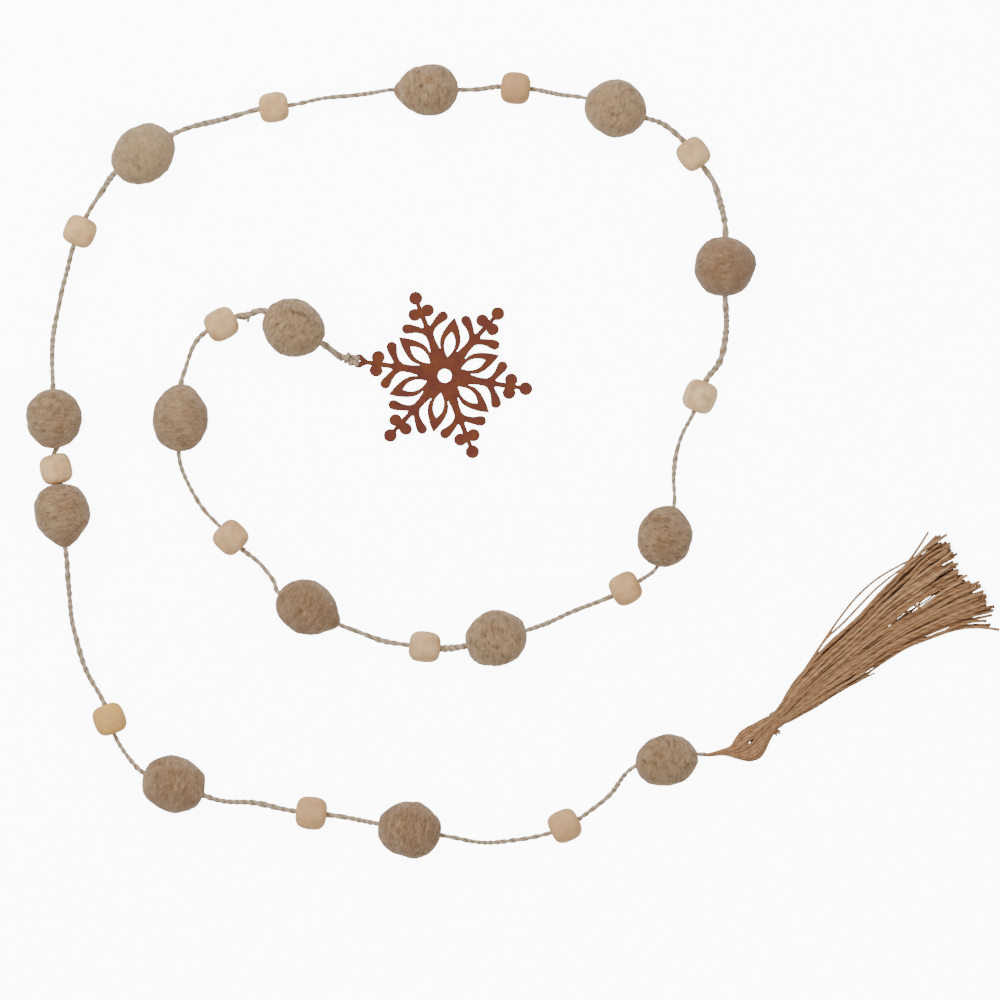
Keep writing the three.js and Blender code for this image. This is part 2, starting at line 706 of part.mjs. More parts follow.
function tasselMesh() {
  const random = steadyRandom(7);
  const parts = [tasselHead()];
  LAYERS.forEach((row, layer) => {
    for (let i = 0; i < row.strands; i += 1) {
      parts.push(skirtStrand(layer, i, random));
    }
  });
  parts.push(...STRAYS.map(strayStrand));
  const eye = new THREE.CylinderGeometry(HEAD_EYE.radius, HEAD_EYE.radius, 30, 6);
  eye.rotateX(Math.PI / 2);
  eye.translate(HEAD_EYE.along, HEAD_EYE.middle, 0);
  const mesh = new THREE.Mesh(geometryFrom(joined(parts).subtract(solidFrom(eye))), materials.yarn);
  mesh.name = "tassel";
  return mesh;
}

// The neck's outline with room around it, as points of a path in the section's plane.
function neckOutline(path, room) {
  const neck = tasselForm(0);
  const around = {
    middle: neck.middle,
    half: neck.half + room,
    base: neck.base - room,
    height: neck.height + 2 * room,
  };
  for (let i = 0; i <= HEAD_SIDES; i += 1) {
    const angle = (2 * Math.PI * (i + 0.5)) / HEAD_SIDES;
    const [side, height] = sectionPoint(around, Math.cos(angle), Math.sin(angle));
    if (i === 0) {
      path.moveTo(side, height);
    } else {
      path.lineTo(side, height);
    }
  }
  return path;
}

// The yarn bound round the neck, with its knot on the near side.
function tasselTieMesh() {
  const band = neckOutline(new THREE.Shape(), CLEARANCE + TIE_THICKNESS);
  band.holes.push(neckOutline(new THREE.Path(), CLEARANCE));
  const ring = new THREE.ExtrudeGeometry(band, { depth: TIE_WIDTH, bevelEnabled: false });
  ring.translate(0, 0, -TIE_WIDTH / 2);
  ring.rotateX(Math.PI / 2);
  ring.rotateZ(Math.PI / 2);
  const knot = knotLump(TIE_KNOT.length, TIE_KNOT.width);
  knot.translate(TIE_KNOT.along, TIE_KNOT.middle, TIE_KNOT.height);
  const mesh = new THREE.Mesh(geometryFrom(joined([ring, knot])), materials.yarn);
  mesh.name = "tassel_tie";
  return mesh;
}

function cordMesh(stations) {
  const path = new StationPath(stations);
  const geometry = tube(path, stations.length - 1, CORD_DIAMETER / 2, CORD_SIDES);
  const mesh = new THREE.Mesh(geometry, materials.twine);
  mesh.name = "cord";
  return mesh;
}

const garland = new THREE.Group();
garland.name = "garland";
garland.position.set(-PLAN_MIDDLE.x, -PLAN_MIDDLE.y, 0);

const counts = { ball: 0, bead: 0 };
const nodeNames = { ball: "felt_ball", bead: "wood_bead" };
for (const piece of PIECES) {
  counts[piece.kind] += 1;
  const number = String(counts[piece.kind]).padStart(2, "0");
  garland.add(threadedMesh(`${nodeNames[piece.kind]}_${number}`, piece));
}

// The twine starts at the knot's far end and finishes at the tip of the tassel's head.
const knotAxis = headingVector(KNOT_HEADING, KNOT_PITCH);
const cordStart = {
  at: KNOT_CENTRE.clone().addScaledVector(knotAxis, KNOT_LENGTH / 2 + CLEARANCE),
  along: knotAxis,
};
const tassel = new THREE.Group();
tassel.position.set(TASSEL_NECK.x, TASSEL_NECK.y, 0);
tassel.rotation.z = TASSEL_HEADING * DEG;
tassel.updateMatrix();
const { along, middle, base, height } = TASSEL_FORM[0];
const headTip = new THREE.Vector3(along - TASSEL_CORD.gap, middle, base + height / 2);
const cordFinish = {
  at: headTip.applyMatrix4(tassel.matrix),
  along: headingVector(TASSEL_CORD.heading, TASSEL_CORD.pitch),
};
const stations = cordStations(cordStart, cordFinish);
garland.add(cordMesh(stations));
garland.add(stopKnotMesh(stations.find(({ at }) => at.x === STOP_KNOT.x)));
garland.add(snowflakeMesh());
garland.add(snowflakeKnotMesh());
tassel.add(tasselMesh(), tasselTieMesh());
garland.add(tassel);

export default garland;
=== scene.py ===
"""A garland of felt balls and wooden beads on jute twine, with a rusty metal snowflake tied to
its inner end and a jute tassel at its outer end, lying on a pale surface seen from above.

Lengths are in metres. The garland's plan has +X to the right and +Y away from the viewer.
"""

import math
from collections import namedtuple

import bpy
import numpy as np
from bpy.props import FloatProperty, FloatVectorProperty, IntProperty, PointerProperty
from bpy.types import Operator, Panel, PropertyGroup
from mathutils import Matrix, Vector
from mathutils.geometry import delaunay_2d_cdt


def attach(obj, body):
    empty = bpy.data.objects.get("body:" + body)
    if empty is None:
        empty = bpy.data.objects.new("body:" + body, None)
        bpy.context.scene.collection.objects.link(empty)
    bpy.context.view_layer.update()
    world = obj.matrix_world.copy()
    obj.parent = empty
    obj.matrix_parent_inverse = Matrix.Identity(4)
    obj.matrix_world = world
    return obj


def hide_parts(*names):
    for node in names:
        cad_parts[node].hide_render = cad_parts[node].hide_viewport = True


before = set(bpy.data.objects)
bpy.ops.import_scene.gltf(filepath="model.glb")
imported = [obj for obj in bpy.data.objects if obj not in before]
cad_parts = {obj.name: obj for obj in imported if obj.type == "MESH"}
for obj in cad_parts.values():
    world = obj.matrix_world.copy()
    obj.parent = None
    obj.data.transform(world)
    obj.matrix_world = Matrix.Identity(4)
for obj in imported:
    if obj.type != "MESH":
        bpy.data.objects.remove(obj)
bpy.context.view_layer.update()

bl_info = {
    "name": "Snowflake and tassel garland",
    "version": (1, 0, 0),
    "blender": (4, 5, 0),
    "location": "3D View > Sidebar > Garland",
    "description": "Builds the pieces of a felt ball garland, their finishes and their stage",
    "category": "Object",
}

BODY = "root"
MM = 0.001
UP = np.array([0, 0, 1.0])
PLAN_MIDDLE = np.array([0.81, -0.35]) * MM

# The camera's lens and sensor in millimetres, and the middle, width and height of what it frames.
LENS, SENSOR = 400.0, 36.0
VIEW_MIDDLE, VIEW_WIDTH, VIEW_HEIGHT = (-0.00706, -0.01945), 0.5, 0.008

# Half the floor's width, its depth below the garland, its glow, and the light from all round.
FLOOR_HALF, FLOOR_DEPTH = 6, 0.0002
FLOOR_GLOW, ROOM_LIGHT = 10.0, 0.66

FLAT_SPOT = {"ball": 0.5 * MM, "bead": 0.2 * MM}

# How deep a free stretch of twine sags as a share of its length, its lowest middle line, how
# far it runs straight out of a mouth, and the steps of the curve from one point to the next.
CORD_SAG = 0.07
CORD_LOWEST = 1.1 * MM
CORD_STRAIGHT = 1.0 * MM
ROUTE_STEPS = 24

# The small knot's place in plan, the twine's thickness at the snowflake's knot, the width that
# the twine's thicknesses are given for, and how many loose fibres it has.
STOP_KNOT = (-0.1322, 0.0728)
TWINE_AT_KNOT = 0.0031
TWINE_DRAWN = 0.00166
TWINE_FIBRES = 900

# Turns of the fibres round the twine and round a yarn in one metre.
FIBRE_TWIST = {"twine": 220.0, "yarn": 150.0}


def table(columns, *rows):
    """Rows of values under the names of their columns."""
    return tuple(columns(*row) for row in rows)


# Round lamps that face the middle of the floor: place, diameter and power in watts.
Lamp = namedtuple("Lamp", "name place size power")
LAMPS = table(
    Lamp,
    ("key", (-1.1, 1.2, 1.9), 1.0, 46.0),
    ("fill", (1.5, -0.8, 1.8), 1.8, 10.0),
)

# The threaded pieces from the snowflake to the tassel, in metres and degrees: kind, place in
# plan, heading of the twine through it, length along the twine, width across it, how brown or
# yellow it is, how streaked (felt) or dark (wood) it is, the twine's thickness beyond it, the
# points passed on the way to the next piece, and where they aren't 0 how far felt is drawn out
# to a tip at each end, the pitch and the lift.
Piece = namedtuple(
    "Piece", "kind x y heading length width brown streak twine via tip_in tip_out pitch lift",
    defaults=(0, 0, 0, 0),
)
PIECES = table(
    Piece,
    ("ball", -0.1094, 0.0664, 151, 0.0319, 0.0288, 0.37, 0.9, 0.003, (STOP_KNOT,), 0, 0, 6),
    ("bead", -0.1456, 0.0681, 207, 0.0161, 0.0159, 0.2, 0.1, 0.0022,
     ((-0.159, 0.058), (-0.1636, 0.046))),
    ("ball", -0.1661, 0.0207, 268, 0.0329, 0.0273, 0.6, 0.7, 0.0019,
     ((-0.165, -0.005), (-0.157, -0.021)), 0.001),
    ("bead", -0.1409, -0.0385, 315, 0.0156, 0.0165, 0.2, 0.5, 0.0021,
     ((-0.1265, -0.0515), (-0.1192, -0.0604))),
    ("ball", -0.1031, -0.0731, 332, 0.0307, 0.027, 0.95, 0.7, 0.0023,
     ((-0.076, -0.0862), (-0.063, -0.0906)), 0, 0.0035),
    ("bead", -0.0439, -0.0932, 355, 0.0158, 0.0156, 0, 0.5, 0.003, ()),
    ("ball", -0.0081, -0.0889, 14, 0.031, 0.0282, 0.5, 0.9, 0.0022, ((0.028, -0.0765),)),
    ("bead", 0.0565, -0.0641, 28, 0.0151, 0.016, 0.4, 0.5, 0.0019, ()),
    ("ball", 0.076, -0.0386, 74, 0.0297, 0.0275, 0.74, 1, 0.002,
     ((0.0805, -0.0075), (0.084, 0.011)), 0, 0.0015),
    ("bead", 0.0938, 0.032, 68, 0.016, 0.0166, 0, 0, 0.0029, ((0.1032, 0.049), (0.107, 0.065))),
    ("ball", 0.1061, 0.0969, 90, 0.0301, 0.0302, 1, 0.3, 0.0029, ((0.105, 0.125), (0.101, 0.138))),
    ("bead", 0.0904, 0.1533, 126, 0.0153, 0.0155, 0.1, 0.25, 0.0025, ((0.076, 0.1674),)),
    ("ball", 0.0512, 0.176, 162, 0.0307, 0.0284, 0.28, 0.7, 0.0021, ((0.024, 0.183),), 0.0008),
    ("bead", 0.0015, 0.1862, 175, 0.0148, 0.0162, 0.85, 1, 0.0022, ((-0.016, 0.1857),)),
    ("ball", -0.0417, 0.185, 180, 0.0296, 0.0259, 0.48, 0.9, 0.002,
     ((-0.071, 0.1836), (-0.091, 0.1814)), 0, 0.003),
    ("bead", -0.1194, 0.1766, 189, 0.0148, 0.0152, 0.35, 0.1, 0.0026,
     ((-0.141, 0.1718), (-0.1585, 0.167))),
    ("ball", -0.1843, 0.1531, 214, 0.034, 0.0281, 0, 0.45, 0.0025, ((-0.206, 0.1335),)),
    ("bead", -0.2163, 0.1145, 246, 0.015, 0.0161, 0.35, 0.1, 0.0023,
     ((-0.2236, 0.091), (-0.2284, 0.071), (-0.23, 0.052))),
    ("ball", -0.2291, 0.0208, 272, 0.03, 0.028, 0.64, 0.8, 0.0023, (), 0, 0, -10),
    ("bead", -0.2281, -0.0043, 283, 0.0151, 0.0161, 0.2, 0.05, 0.0023, (), 0, 0, 0, 0.003),
    ("ball", -0.2251, -0.0261, 276, 0.0293, 0.0281, 0.7, 0.9, 0.0024,
     ((-0.2216, -0.065), (-0.2192, -0.086), (-0.2126, -0.106)), 0, 0.0033, 11),
    ("bead", -0.2015, -0.1294, 290, 0.0154, 0.0162, 1, 0.1, 0.0021, ((-0.192, -0.149),)),
    ("ball", -0.1692, -0.1616, 339, 0.0319, 0.0277, 0.85, 0.6, 0.0025,
     ((-0.1435, -0.1702), (-0.125, -0.172))),
    ("bead", -0.1007, -0.1763, 353, 0.0155, 0.0166, 0.4, 0.7, 0.0023, ((-0.081, -0.1787),)),
    ("ball", -0.0515, -0.1844, 350, 0.0317, 0.0279, 0.95, 0.9, 0.002,
     ((-0.0185, -0.1907), (0.0015, -0.19))),
    ("bead", 0.0261, -0.1827, 25, 0.0154, 0.0164, 0.35, 0.75, 0.0021, ((0.048, -0.1675),)),
    ("ball", 0.0771, -0.15, 11, 0.0322, 0.0252, 0.56, 1, 0.0016, (), 0, 0, -14),
)

# Bumps and dents of single balls: the ball's number, heading of the bump in plan, how far up it
# is in degrees, its height (below 0 a dent) and its half width on the unit ball.
Bump = namedtuple("Bump", "ball heading up height spread")
BUMPS = table(
    Bump,
    (9, 90, 12, 0.0012, 0.28), (9, 20, 20, -0.0008, 0.6), (8, 55, 10, 0.0007, 0.3),
    (6, 12, 10, 0.0009, 0.35), (6, 330, 15, -0.0006, 0.4), (5, 118, 8, 0.001, 0.35),
    (5, 150, 20, -0.0006, 0.35), (13, 20, 8, 0.0006, 0.3), (13, 285, 8, 0.0009, 0.35),
    (12, 200, 10, 0.0008, 0.4), (12, 20, 12, 0.0007, 0.3), (1, 60, 10, -0.0004, 0.5),
    (3, 200, 15, 0.0006, 0.4), (10, 300, 20, -0.0006, 0.4), (2, 320, 15, 0.0005, 0.4),
    (14, 95, 10, 0.0012, 0.5), (14, 255, 10, -0.0004, 0.6), (11, 62, 8, 0.0008, 0.35),
    (11, 130, 8, 0.0009, 0.35),
)

# The tassel's form at stations along its axis from the neck: sideways middle, half width,
# underside and height over it.
Form = namedtuple("Form", "along middle half base height")
TASSEL_FORM = table(
    Form,
    (-0.0422, 0.0071, 0.001, 0.0066, 0.0021), (-0.0378, 0.0038, 0.0012, 0.0048, 0.0024),
    (-0.0343, 0.0022, 0.0015, 0.0038, 0.0026), (-0.0312, 0.0007, 0.0021, 0.0025, 0.0036),
    (-0.026, -0.0028, 0.0048, 0.0012, 0.0054), (-0.0225, -0.0037, 0.0074, 0, 0.007),
    (-0.0185, -0.0036, 0.0089, 0, 0.0076), (-0.0145, -0.0032, 0.0085, 0, 0.0076),
    (-0.01, -0.0022, 0.0068, 0, 0.0074), (-0.006, -0.0014, 0.0055, 0.0006, 0.0066),
    (0.0, -0.0009, 0.0043, 0.001, 0.006), (0.0065, -0.0004, 0.0057, 0.0006, 0.007),
    (0.011, 0.0006, 0.007, 0, 0.008), (0.017, 0.0017, 0.0087, 0, 0.0082),
    (0.027, 0.0029, 0.0103, 0, 0.0082), (0.042, 0.0042, 0.0124, 0, 0.008),
    (0.059, 0.0053, 0.014, 0, 0.0078), (0.08, 0.006, 0.0178, 0, 0.0076),
    (0.101, 0.0046, 0.0226, 0, 0.0074), (0.126, 0.001, 0.0285, 0, 0.0072),
)

# Locks that the skirt's yarns gather in: place across the skirt at the root and at the tips
# from -1 to 1, its spread at the tips, how far its last 20 mm bend outwards, where it ends along
# the axis, and its share of yarns. The first is a short one on the near edge.
Lock = namedtuple("Lock", "root tip spread bend end share")
LOCKS = table(
    Lock,
    (-0.95, -1.06, 0.11, 0, 0.049, 9), (-0.93, -0.905, 0.012, -0.17, 0.115, 5),
    (-0.84, -0.72, 0.045, 0, 0.118, 9), (-0.69, -0.58, 0.045, 0, 0.119, 10),
    (-0.53, -0.44, 0.055, 0, 0.1198, 12), (-0.36, -0.29, 0.06, 0, 0.12, 13),
    (-0.18, -0.13, 0.06, 0, 0.1198, 13), (0.0, 0.06, 0.06, 0, 0.1175, 12),
    (0.17, 0.21, 0.055, 0, 0.116, 9), (0.33, 0.36, 0.06, 0, 0.1178, 12),
    (0.49, 0.5, 0.05, 0, 0.1125, 9), (0.62, 0.64, 0.06, 0, 0.1192, 12),
    (0.76, 0.78, 0.055, 0, 0.1196, 10), (0.91, 0.95, 0.055, 0.02, 0.119, 8),
)

TASSEL_NECK = np.array([0.1315, -0.129])
TASSEL_HEADING = 34.5
TWINE_END = ((-0.0378, 0.0038, 0.0060), (-0.0319, 0.0010, 0.0044))

# Where the yarns part: station, sideways place, half length and half width of the opening.
TASSEL_EYE = (-0.0169, -0.0028, 0.0022, 0.0011)
SKIRT_SLIT = (0.0890, 0.0060, 0.0165, 0.0018)

TIE_KNOT = np.array([-0.0034, -0.0056, 0.0028])

# The snowflake's middle, heading in degrees, lift of the pierced tip in millimetres over the
# distance to the far one, reach of the far tip and of the pierced disc, and in millimetres the
# growth of its outline, its eased rim, and the places and radii of its eye and loop hole.
FLAKE_CENTRE = np.array([-0.03425, 0.0428])
FLAKE_HEADING = -10.3
TIP_LIFT = 2.3
FLAKE_TILT = math.asin(TIP_LIFT / 84.6)
FLAKE_REACH = 0.0438
FLAKE_DISC = 0.0422
FLAKE_GROWTH = 0.25
RIM_WIDTH = 0.6
FLAKE_EYE = (0.4, -0.38, 3.65)
LOOP_HOLE = (-42.2, 0, 1.1)
OUTLINE_STEPS = 4

# The arms from the one opposite the pierced arm and round to the left: how far each is bent
# out of its even sixth of a turn, in degrees, and its reach as a share of the even one.
Arm = namedtuple("Arm", "bend reach")
ARMS = table(
    Arm,
    (0.84, 1.014), (-1.0, 0.998), (0.66, 1.001), (1.1, 1.03), (-1.48, 0.99), (0.59, 1.003),
)
PIERCED_ARM = 3

# Half of one arm's outline in its own frame, in millimetres: along the arm, sideways, and 1
# where the outline turns a corner. The first rows are the leaf beside it.
ARM_OUTLINE = np.array([
    [25.03, 14.45, 1], [23.5, 11.45, 0], [21.65, 8.65, 0], [19.6, 6.2, 0], [17.4, 4.4, 0],
    [15.3, 3.45, 0], [13.1, 3.05, 0], [12.1, 2.65, 0], [13.1, 2.35, 0], [15.2, 2.0, 0],
    [17.2, 1.75, 0], [19.0, 1.75, 0], [20.9, 1.85, 0], [22.5, 2.75, 0], [23.9, 4.5, 0],
    [24.8, 6.4, 0], [25.3, 8.4, 0], [25.6, 10.0, 0], [26.3, 11.15, 0], [27.8, 11.7, 0],
    [29.3, 11.15, 0], [30.1, 9.75, 0], [29.75, 8.1, 0], [28.6, 6.2, 0], [27.2, 4.3, 0],
    [25.85, 2.5, 0], [25.45, 1.75, 0], [26.2, 1.25, 0], [28.5, 1.08, 0], [31.15, 1.15, 1],
    [30.85, 1.6, 0], [30.35, 2.8, 0], [30.45, 4.3, 0], [31.5, 5.75, 0], [33.2, 6.3, 0],
    [34.9, 5.75, 0], [35.95, 4.3, 0], [36.05, 2.8, 0], [35.55, 1.6, 0], [35.35, 1.05, 1],
    [36.7, 0.8, 0], [37.95, 1.0, 1], [38.5, 1.95, 0], [39.5, 2.75, 0], [40.85, 3.1, 0],
    [42.2, 2.75, 0], [43.2, 1.95, 0], [43.8, 1.0, 0], [43.95, 0.0, 0],
])
# The tip of the pierced arm, which is larger and tapers smoothly to its neck.
PIERCED_TIP = np.array([
    [36.7, 0.9, 0], [38.2, 1.05, 0], [39.3, 1.75, 0], [40.4, 2.55, 0], [41.5, 3.15, 0],
    [42.8, 3.1, 0], [43.9, 2.4, 0], [44.6, 1.3, 0], [44.8, 0.0, 0],
])
TIP_START = 40
# Half of the opening in each leaf.
LEAF_OPENING = np.array([
    [8.8, 0, 1], [10.6, 1.25, 0], [12.6, 2.3, 0], [14.8, 2.8, 0], [17.0, 2.75, 0], [19.2, 2.1, 0],
    [20.9, 1.05, 0], [22.2, 0, 1],
])


def srgb(red, green, blue):
    """An opaque colour given in display values from 0 to 255 as linear light."""
    shares = [value / 255 for value in (red, green, blue)]
    return (*(v / 12.92 if v <= 0.04045 else ((v + 0.055) / 1.055) ** 2.4 for v in shares), 1.0)


def random_for(name):
    """A generator of the same random numbers every time for one piece."""
    return np.random.default_rng([ord(letter) for letter in name])


# Shapes


def unit(vectors):
    """Vectors divided by their own lengths."""
    return vectors / np.linalg.norm(vectors, axis=-1, keepdims=True)


def beside(vectors):
    """Level unit vectors to the left of some directions."""
    return unit(np.cross(UP, vectors))


def distances(line):
    """The distance of each point of a line from its start."""
    return np.concatenate([[0], np.cumsum(np.linalg.norm(np.diff(line, axis=0), axis=1))])


def heading_vector(heading, pitch=0.0):
    """(cos h cos p, sin h cos p, sin p) for a heading h and a pitch p in degrees."""
    h, p = math.radians(heading), math.radians(pitch)
    return np.array([math.cos(h) * math.cos(p), math.sin(h) * math.cos(p), math.sin(p)])


def piece_axes(heading, pitch):
    """Rows forward, left and up of a piece whose twine runs at that heading and pitch."""
    forward = heading_vector(heading, pitch)
    left = heading_vector(heading + 90)
    return np.array([forward, left, np.cross(forward, left)])


def ripple(points, name, size, waves=14):
    """Smooth noise from about -1 to 1: the sum of sines of points along random directions, with
    wavelengths from 0.55 to 1.6 times size."""
    random = random_for(name)
    directions = unit(random.normal(size=(waves, 3)))
    rates = 2 * math.pi / (size * random.uniform(0.55, 1.6, waves))
    phases = random.uniform(0, 2 * math.pi, waves)
    return np.sin(points @ (directions * rates[:, None]).T + phases).sum(-1) / math.sqrt(waves)


def wander(steps, name, size, count=1):
    """Smooth noise from about -1 to 1 along lines, as count rows: the sum of sines of the
    distance, with wavelengths from 0.55 to 1.6 times size."""
    random, waves = random_for(name), 7
    rates = 2 * math.pi / (size * random.uniform(0.55, 1.6, (count, waves, 1)))
    phases = random.uniform(0, 2 * math.pi, (count, waves, 1))
    rows = np.broadcast_to(np.asarray(steps), (count, np.shape(steps)[-1]))
    return np.sin(rows[:, None] * rates + phases).sum(1) / math.sqrt(waves)


def hermite(points, before, after, steps):
    """Cubic curve through points: between points a and b with slopes s and t, at u from 0 to 1,
    (2u^3-3u^2+1) a + (u^3-2u^2+u) s + (3u^2-2u^3) b + (u^3-u^2) t. The slope that a point is
    left with is in after, and the one it is reached with in before, both for a unit length."""
    spans = np.linalg.norm(np.diff(points, axis=0), axis=1)[:, None, None]
    u = (np.arange(steps) / steps)[None, :, None]
    start, end = points[:-1, None], points[1:, None]
    leave, reach = after[:-1, None] * spans, before[1:, None] * spans
    curve = (
        (2 * u**3 - 3 * u**2 + 1) * start
        + (u**3 - 2 * u**2 + u) * leave
        + (3 * u**2 - 2 * u**3) * end
        + (u**3 - u**2) * reach
    )
    return np.vstack([curve.reshape(-1, points.shape[1]), points[-1:]])


def smooth_line(points, steps, slopes=None):
    """A curve through points whose slope at a point is the mean of those of the spans beside
    it, each weighed by the length of the other, unless the slopes are given."""
    points = np.asarray(points, float)
    if slopes is None:
        spans = np.linalg.norm(np.diff(points, axis=0), axis=1)[:, None]
        slope = np.diff(points, axis=0) / spans
        inner = (slope[:-1] * spans[1:] + slope[1:] * spans[:-1]) / (spans[:-1] + spans[1:])
        slopes = np.vstack([slope[:1], inner, slope[-1:]])
    return hermite(points, slopes, slopes, steps)


def closed_outline(rows, steps):
    """The closed curve through rows of x, y and a corner mark. At a corner the slope isn't
    shared between the two spans."""
    points, corner = rows[:, :2], rows[:, 2:] > 0
    back = points - np.roll(points, 1, axis=0)
    ahead = np.roll(points, -1, axis=0) - points
    reach, leave = np.linalg.norm(back, axis=1)[:, None], np.linalg.norm(ahead, axis=1)[:, None]
    shared = (back / reach * leave + ahead / leave * reach) / (reach + leave)
    before = np.where(corner, back / reach, shared)
    after = np.where(corner, ahead / leave, shared)
    loop = [np.vstack([a, a[:1]]) for a in (points, before, after)]
    return hermite(*loop, steps)[:-1]


def offset(loop, distance):
    """A closed loop that runs to the left, moved outwards by that distance along the mean of
    the normals of its two edges at each point."""
    ahead = unit(np.roll(loop, -1, axis=0) - loop)
    normal = np.column_stack([ahead[:, 1], -ahead[:, 0]])
    both = normal + np.roll(normal, 1, axis=0)
    return loop + distance * both * 2 / np.maximum((both**2).sum(1), 1.2)[:, None]


class Skin:
    """Faces collected from grids, tubes and rings, to become one mesh object."""

    def __init__(self, name):
        self.name = name
        self.points, self.maps, self.faces, self.values = [], [], [], {}
        self.count = 0

    def add(self, points, faces, maps, **values):
        """Adds points, arrays of faces with one size each, their UV corners, and values that
        each point keeps, as attributes."""
        self.points.append(points)
        for block, corners in zip(faces, maps):
            self.faces.append(block + self.count)
            self.maps.append(corners.reshape(-1, 2))
        for key, value in values.items():
            self.values.setdefault(key, []).append(value)
        self.count += len(points)

    def span(self, faces):
        """Adds faces between points that are there already."""
        self.faces.append(faces)
        self.maps.append(np.zeros((faces.size, 2)))

    def make(self, material, *nodes, slot=None):
        """Puts everything into one mesh and its object on the garland's body."""
        mesh = bpy.data.meshes.new(self.name)
        sizes = np.concatenate([np.full(len(block), block.shape[1]) for block in self.faces])
        corners = np.concatenate([block.ravel() for block in self.faces]).astype(np.int32)
        starts = np.concatenate([[0], np.cumsum(sizes)[:-1]]).astype(np.int32)
        mesh.vertices.add(self.count)
        mesh.vertices.foreach_set("co", np.vstack(self.points).astype(np.float32).ravel())
        mesh.loops.add(len(corners))
        mesh.loops.foreach_set("vertex_index", corners)
        mesh.polygons.add(len(sizes))
        mesh.polygons.foreach_set("loop_start", starts)
        mesh.update(calc_edges=True)
        uv = mesh.uv_layers.new(name="along")
        uv.data.foreach_set("uv", np.vstack(self.maps).astype(np.float32).ravel())
        for key, blocks in self.values.items():
            value = np.concatenate(blocks).astype(np.float32)
            flat = value.ndim == 1
            layer = mesh.attributes.new(key, "FLOAT" if flat else "FLOAT_VECTOR", "POINT")
            layer.data.foreach_set("value" if flat else "vector", value.ravel())
        mesh.shade_smooth()
        mesh.validate()
        piece = bpy.data.objects.new(self.name, mesh)
        bpy.context.scene.collection.objects.link(piece)
        mesh.materials.append(material)
        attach(piece, BODY)
        if nodes:
            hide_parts(*nodes)
        return piece


def ring_faces(rows, sides, closed):
    """Quads between neighbouring rings of a tube, and their UV corners: u round the tube in
    turns and v along it in rows. A closed tube joins its last ring to its first."""
    row = np.arange(rows if closed else rows - 1)[:, None]
    side = np.arange(sides)[None, :]
    following, beside = (row + 1) % rows, (side + 1) % sides
    quads = np.stack(
        [row * sides + side, row * sides + beside, following * sides + beside,
         following * sides + side], axis=-1,
    )
    row, side = np.broadcast_arrays(row, side)
    corners = np.stack(
        [np.stack([side + i, row + j], axis=-1) for i, j in ((0, 0), (1, 0), (1, 1), (0, 1))],
        axis=-2,
    ) * np.array([1 / sides, 1.0])
    return quads.reshape(-1, 4), corners.reshape(-1, 4, 2)


def add_tubes(skin, paths, radius, sides, up=(0, 0, 1), spin=None, groove=0.0, tone=0.0):
    """Adds tubes along many paths of one length, with the tone of each and how far a point is
    out of the grooves between its two plies. With the side vector s = up x t and rise vector
    r = t x s of a path of tangent t, the point at angle a of a ring is
    p + R (s cos a + r sin a), with R = radius (1 - groove (1 - |cos(a - spin)|)). V of the UV
    map is the distance along the path in metres."""
    paths = np.asarray(paths, float)
    count, rows = paths.shape[:2]
    tangent = unit(np.gradient(paths, axis=1))
    side = unit(np.cross(np.broadcast_to(up, tangent.shape), tangent))
    rise = np.cross(tangent, side)
    angle = 2 * math.pi * np.arange(sides) / sides
    turn = np.zeros((count, rows)) if spin is None else np.broadcast_to(spin, (count, rows))
    # fold also goes into the ply attribute, which the jute finish turns into painted shade in the
    # grooves.
    fold = np.abs(np.cos(angle - turn[..., None])) if groove else np.ones(sides)
    section = 1 - groove * (1 - fold)
    reach = (np.broadcast_to(radius, (count, rows))[..., None] * section)[..., None]
    cosine, sine = np.cos(angle)[:, None], np.sin(angle)[:, None]
    points = paths[:, :, None] + reach * (side[:, :, None] * cosine + rise[:, :, None] * sine)
    quads, corners = ring_faces(rows, sides, closed=False)
    shift = (np.arange(count) * rows * sides)[:, None, None]
    steps = np.linalg.norm(np.diff(paths, axis=1), axis=2)
    length = np.concatenate([np.zeros((count, 1)), np.cumsum(steps, axis=1)], axis=1)
    corners = np.repeat(corners[None], count, axis=0)
    corners[..., 1] = length[np.arange(count)[:, None, None], corners[..., 1].astype(int)]
    first = np.arange(sides)[::-1][None] + shift[:, 0]
    last = np.arange(sides)[None] + shift[:, 0] + (rows - 1) * sides
    ends = np.vstack([first, last])
    tones = np.repeat(np.broadcast_to(tone, (count,)), rows * sides)
    folds = np.broadcast_to(fold, (count, rows, sides)).ravel()
    skin.add(
        points.reshape(-1, 3),
        [(quads[None] + shift).reshape(-1, 4), ends],
        [corners, np.zeros((len(ends), sides, 2))],
        tone=tones, ply=folds,
    )


def add_hairs(skin, roots, normals, flow, name, length, radius):
    """Adds short curved fibres that leave roots along flow and a share of the normals. A fibre
    at u from 0 to 1 is root + L (u flow + 0.35 u^2 sideways + lift u (1 - 0.4 u) normal)."""
    random = random_for(name)
    count, rows = len(roots), 4
    u = np.linspace(0, 1, rows)[None, :, None]
    flow = unit(flow + 0.5 * random.normal(size=(count, 3)))
    aside = unit(np.cross(flow, normals)) * random.normal(size=(count, 1))
    lift = random.uniform(0.1, 0.75, (count, 1))
    reach = (length * random.uniform(0.4, 1.3, (count, 1)))[:, None]
    curve = u * flow[:, None] + 0.35 * u**2 * aside[:, None]
    curve = curve + (lift * normals)[:, None] * u * (1 - 0.4 * u)
    paths = roots[:, None] + reach * curve
    paths[..., 2] = np.maximum(paths[..., 2], radius)
    thin = radius * np.linspace(1, 0.35, rows)[None]
    add_tubes(skin, paths, thin, 3, up=(0.3, 0.2, 1), tone=random.uniform(0, 1, count))


# Finishes


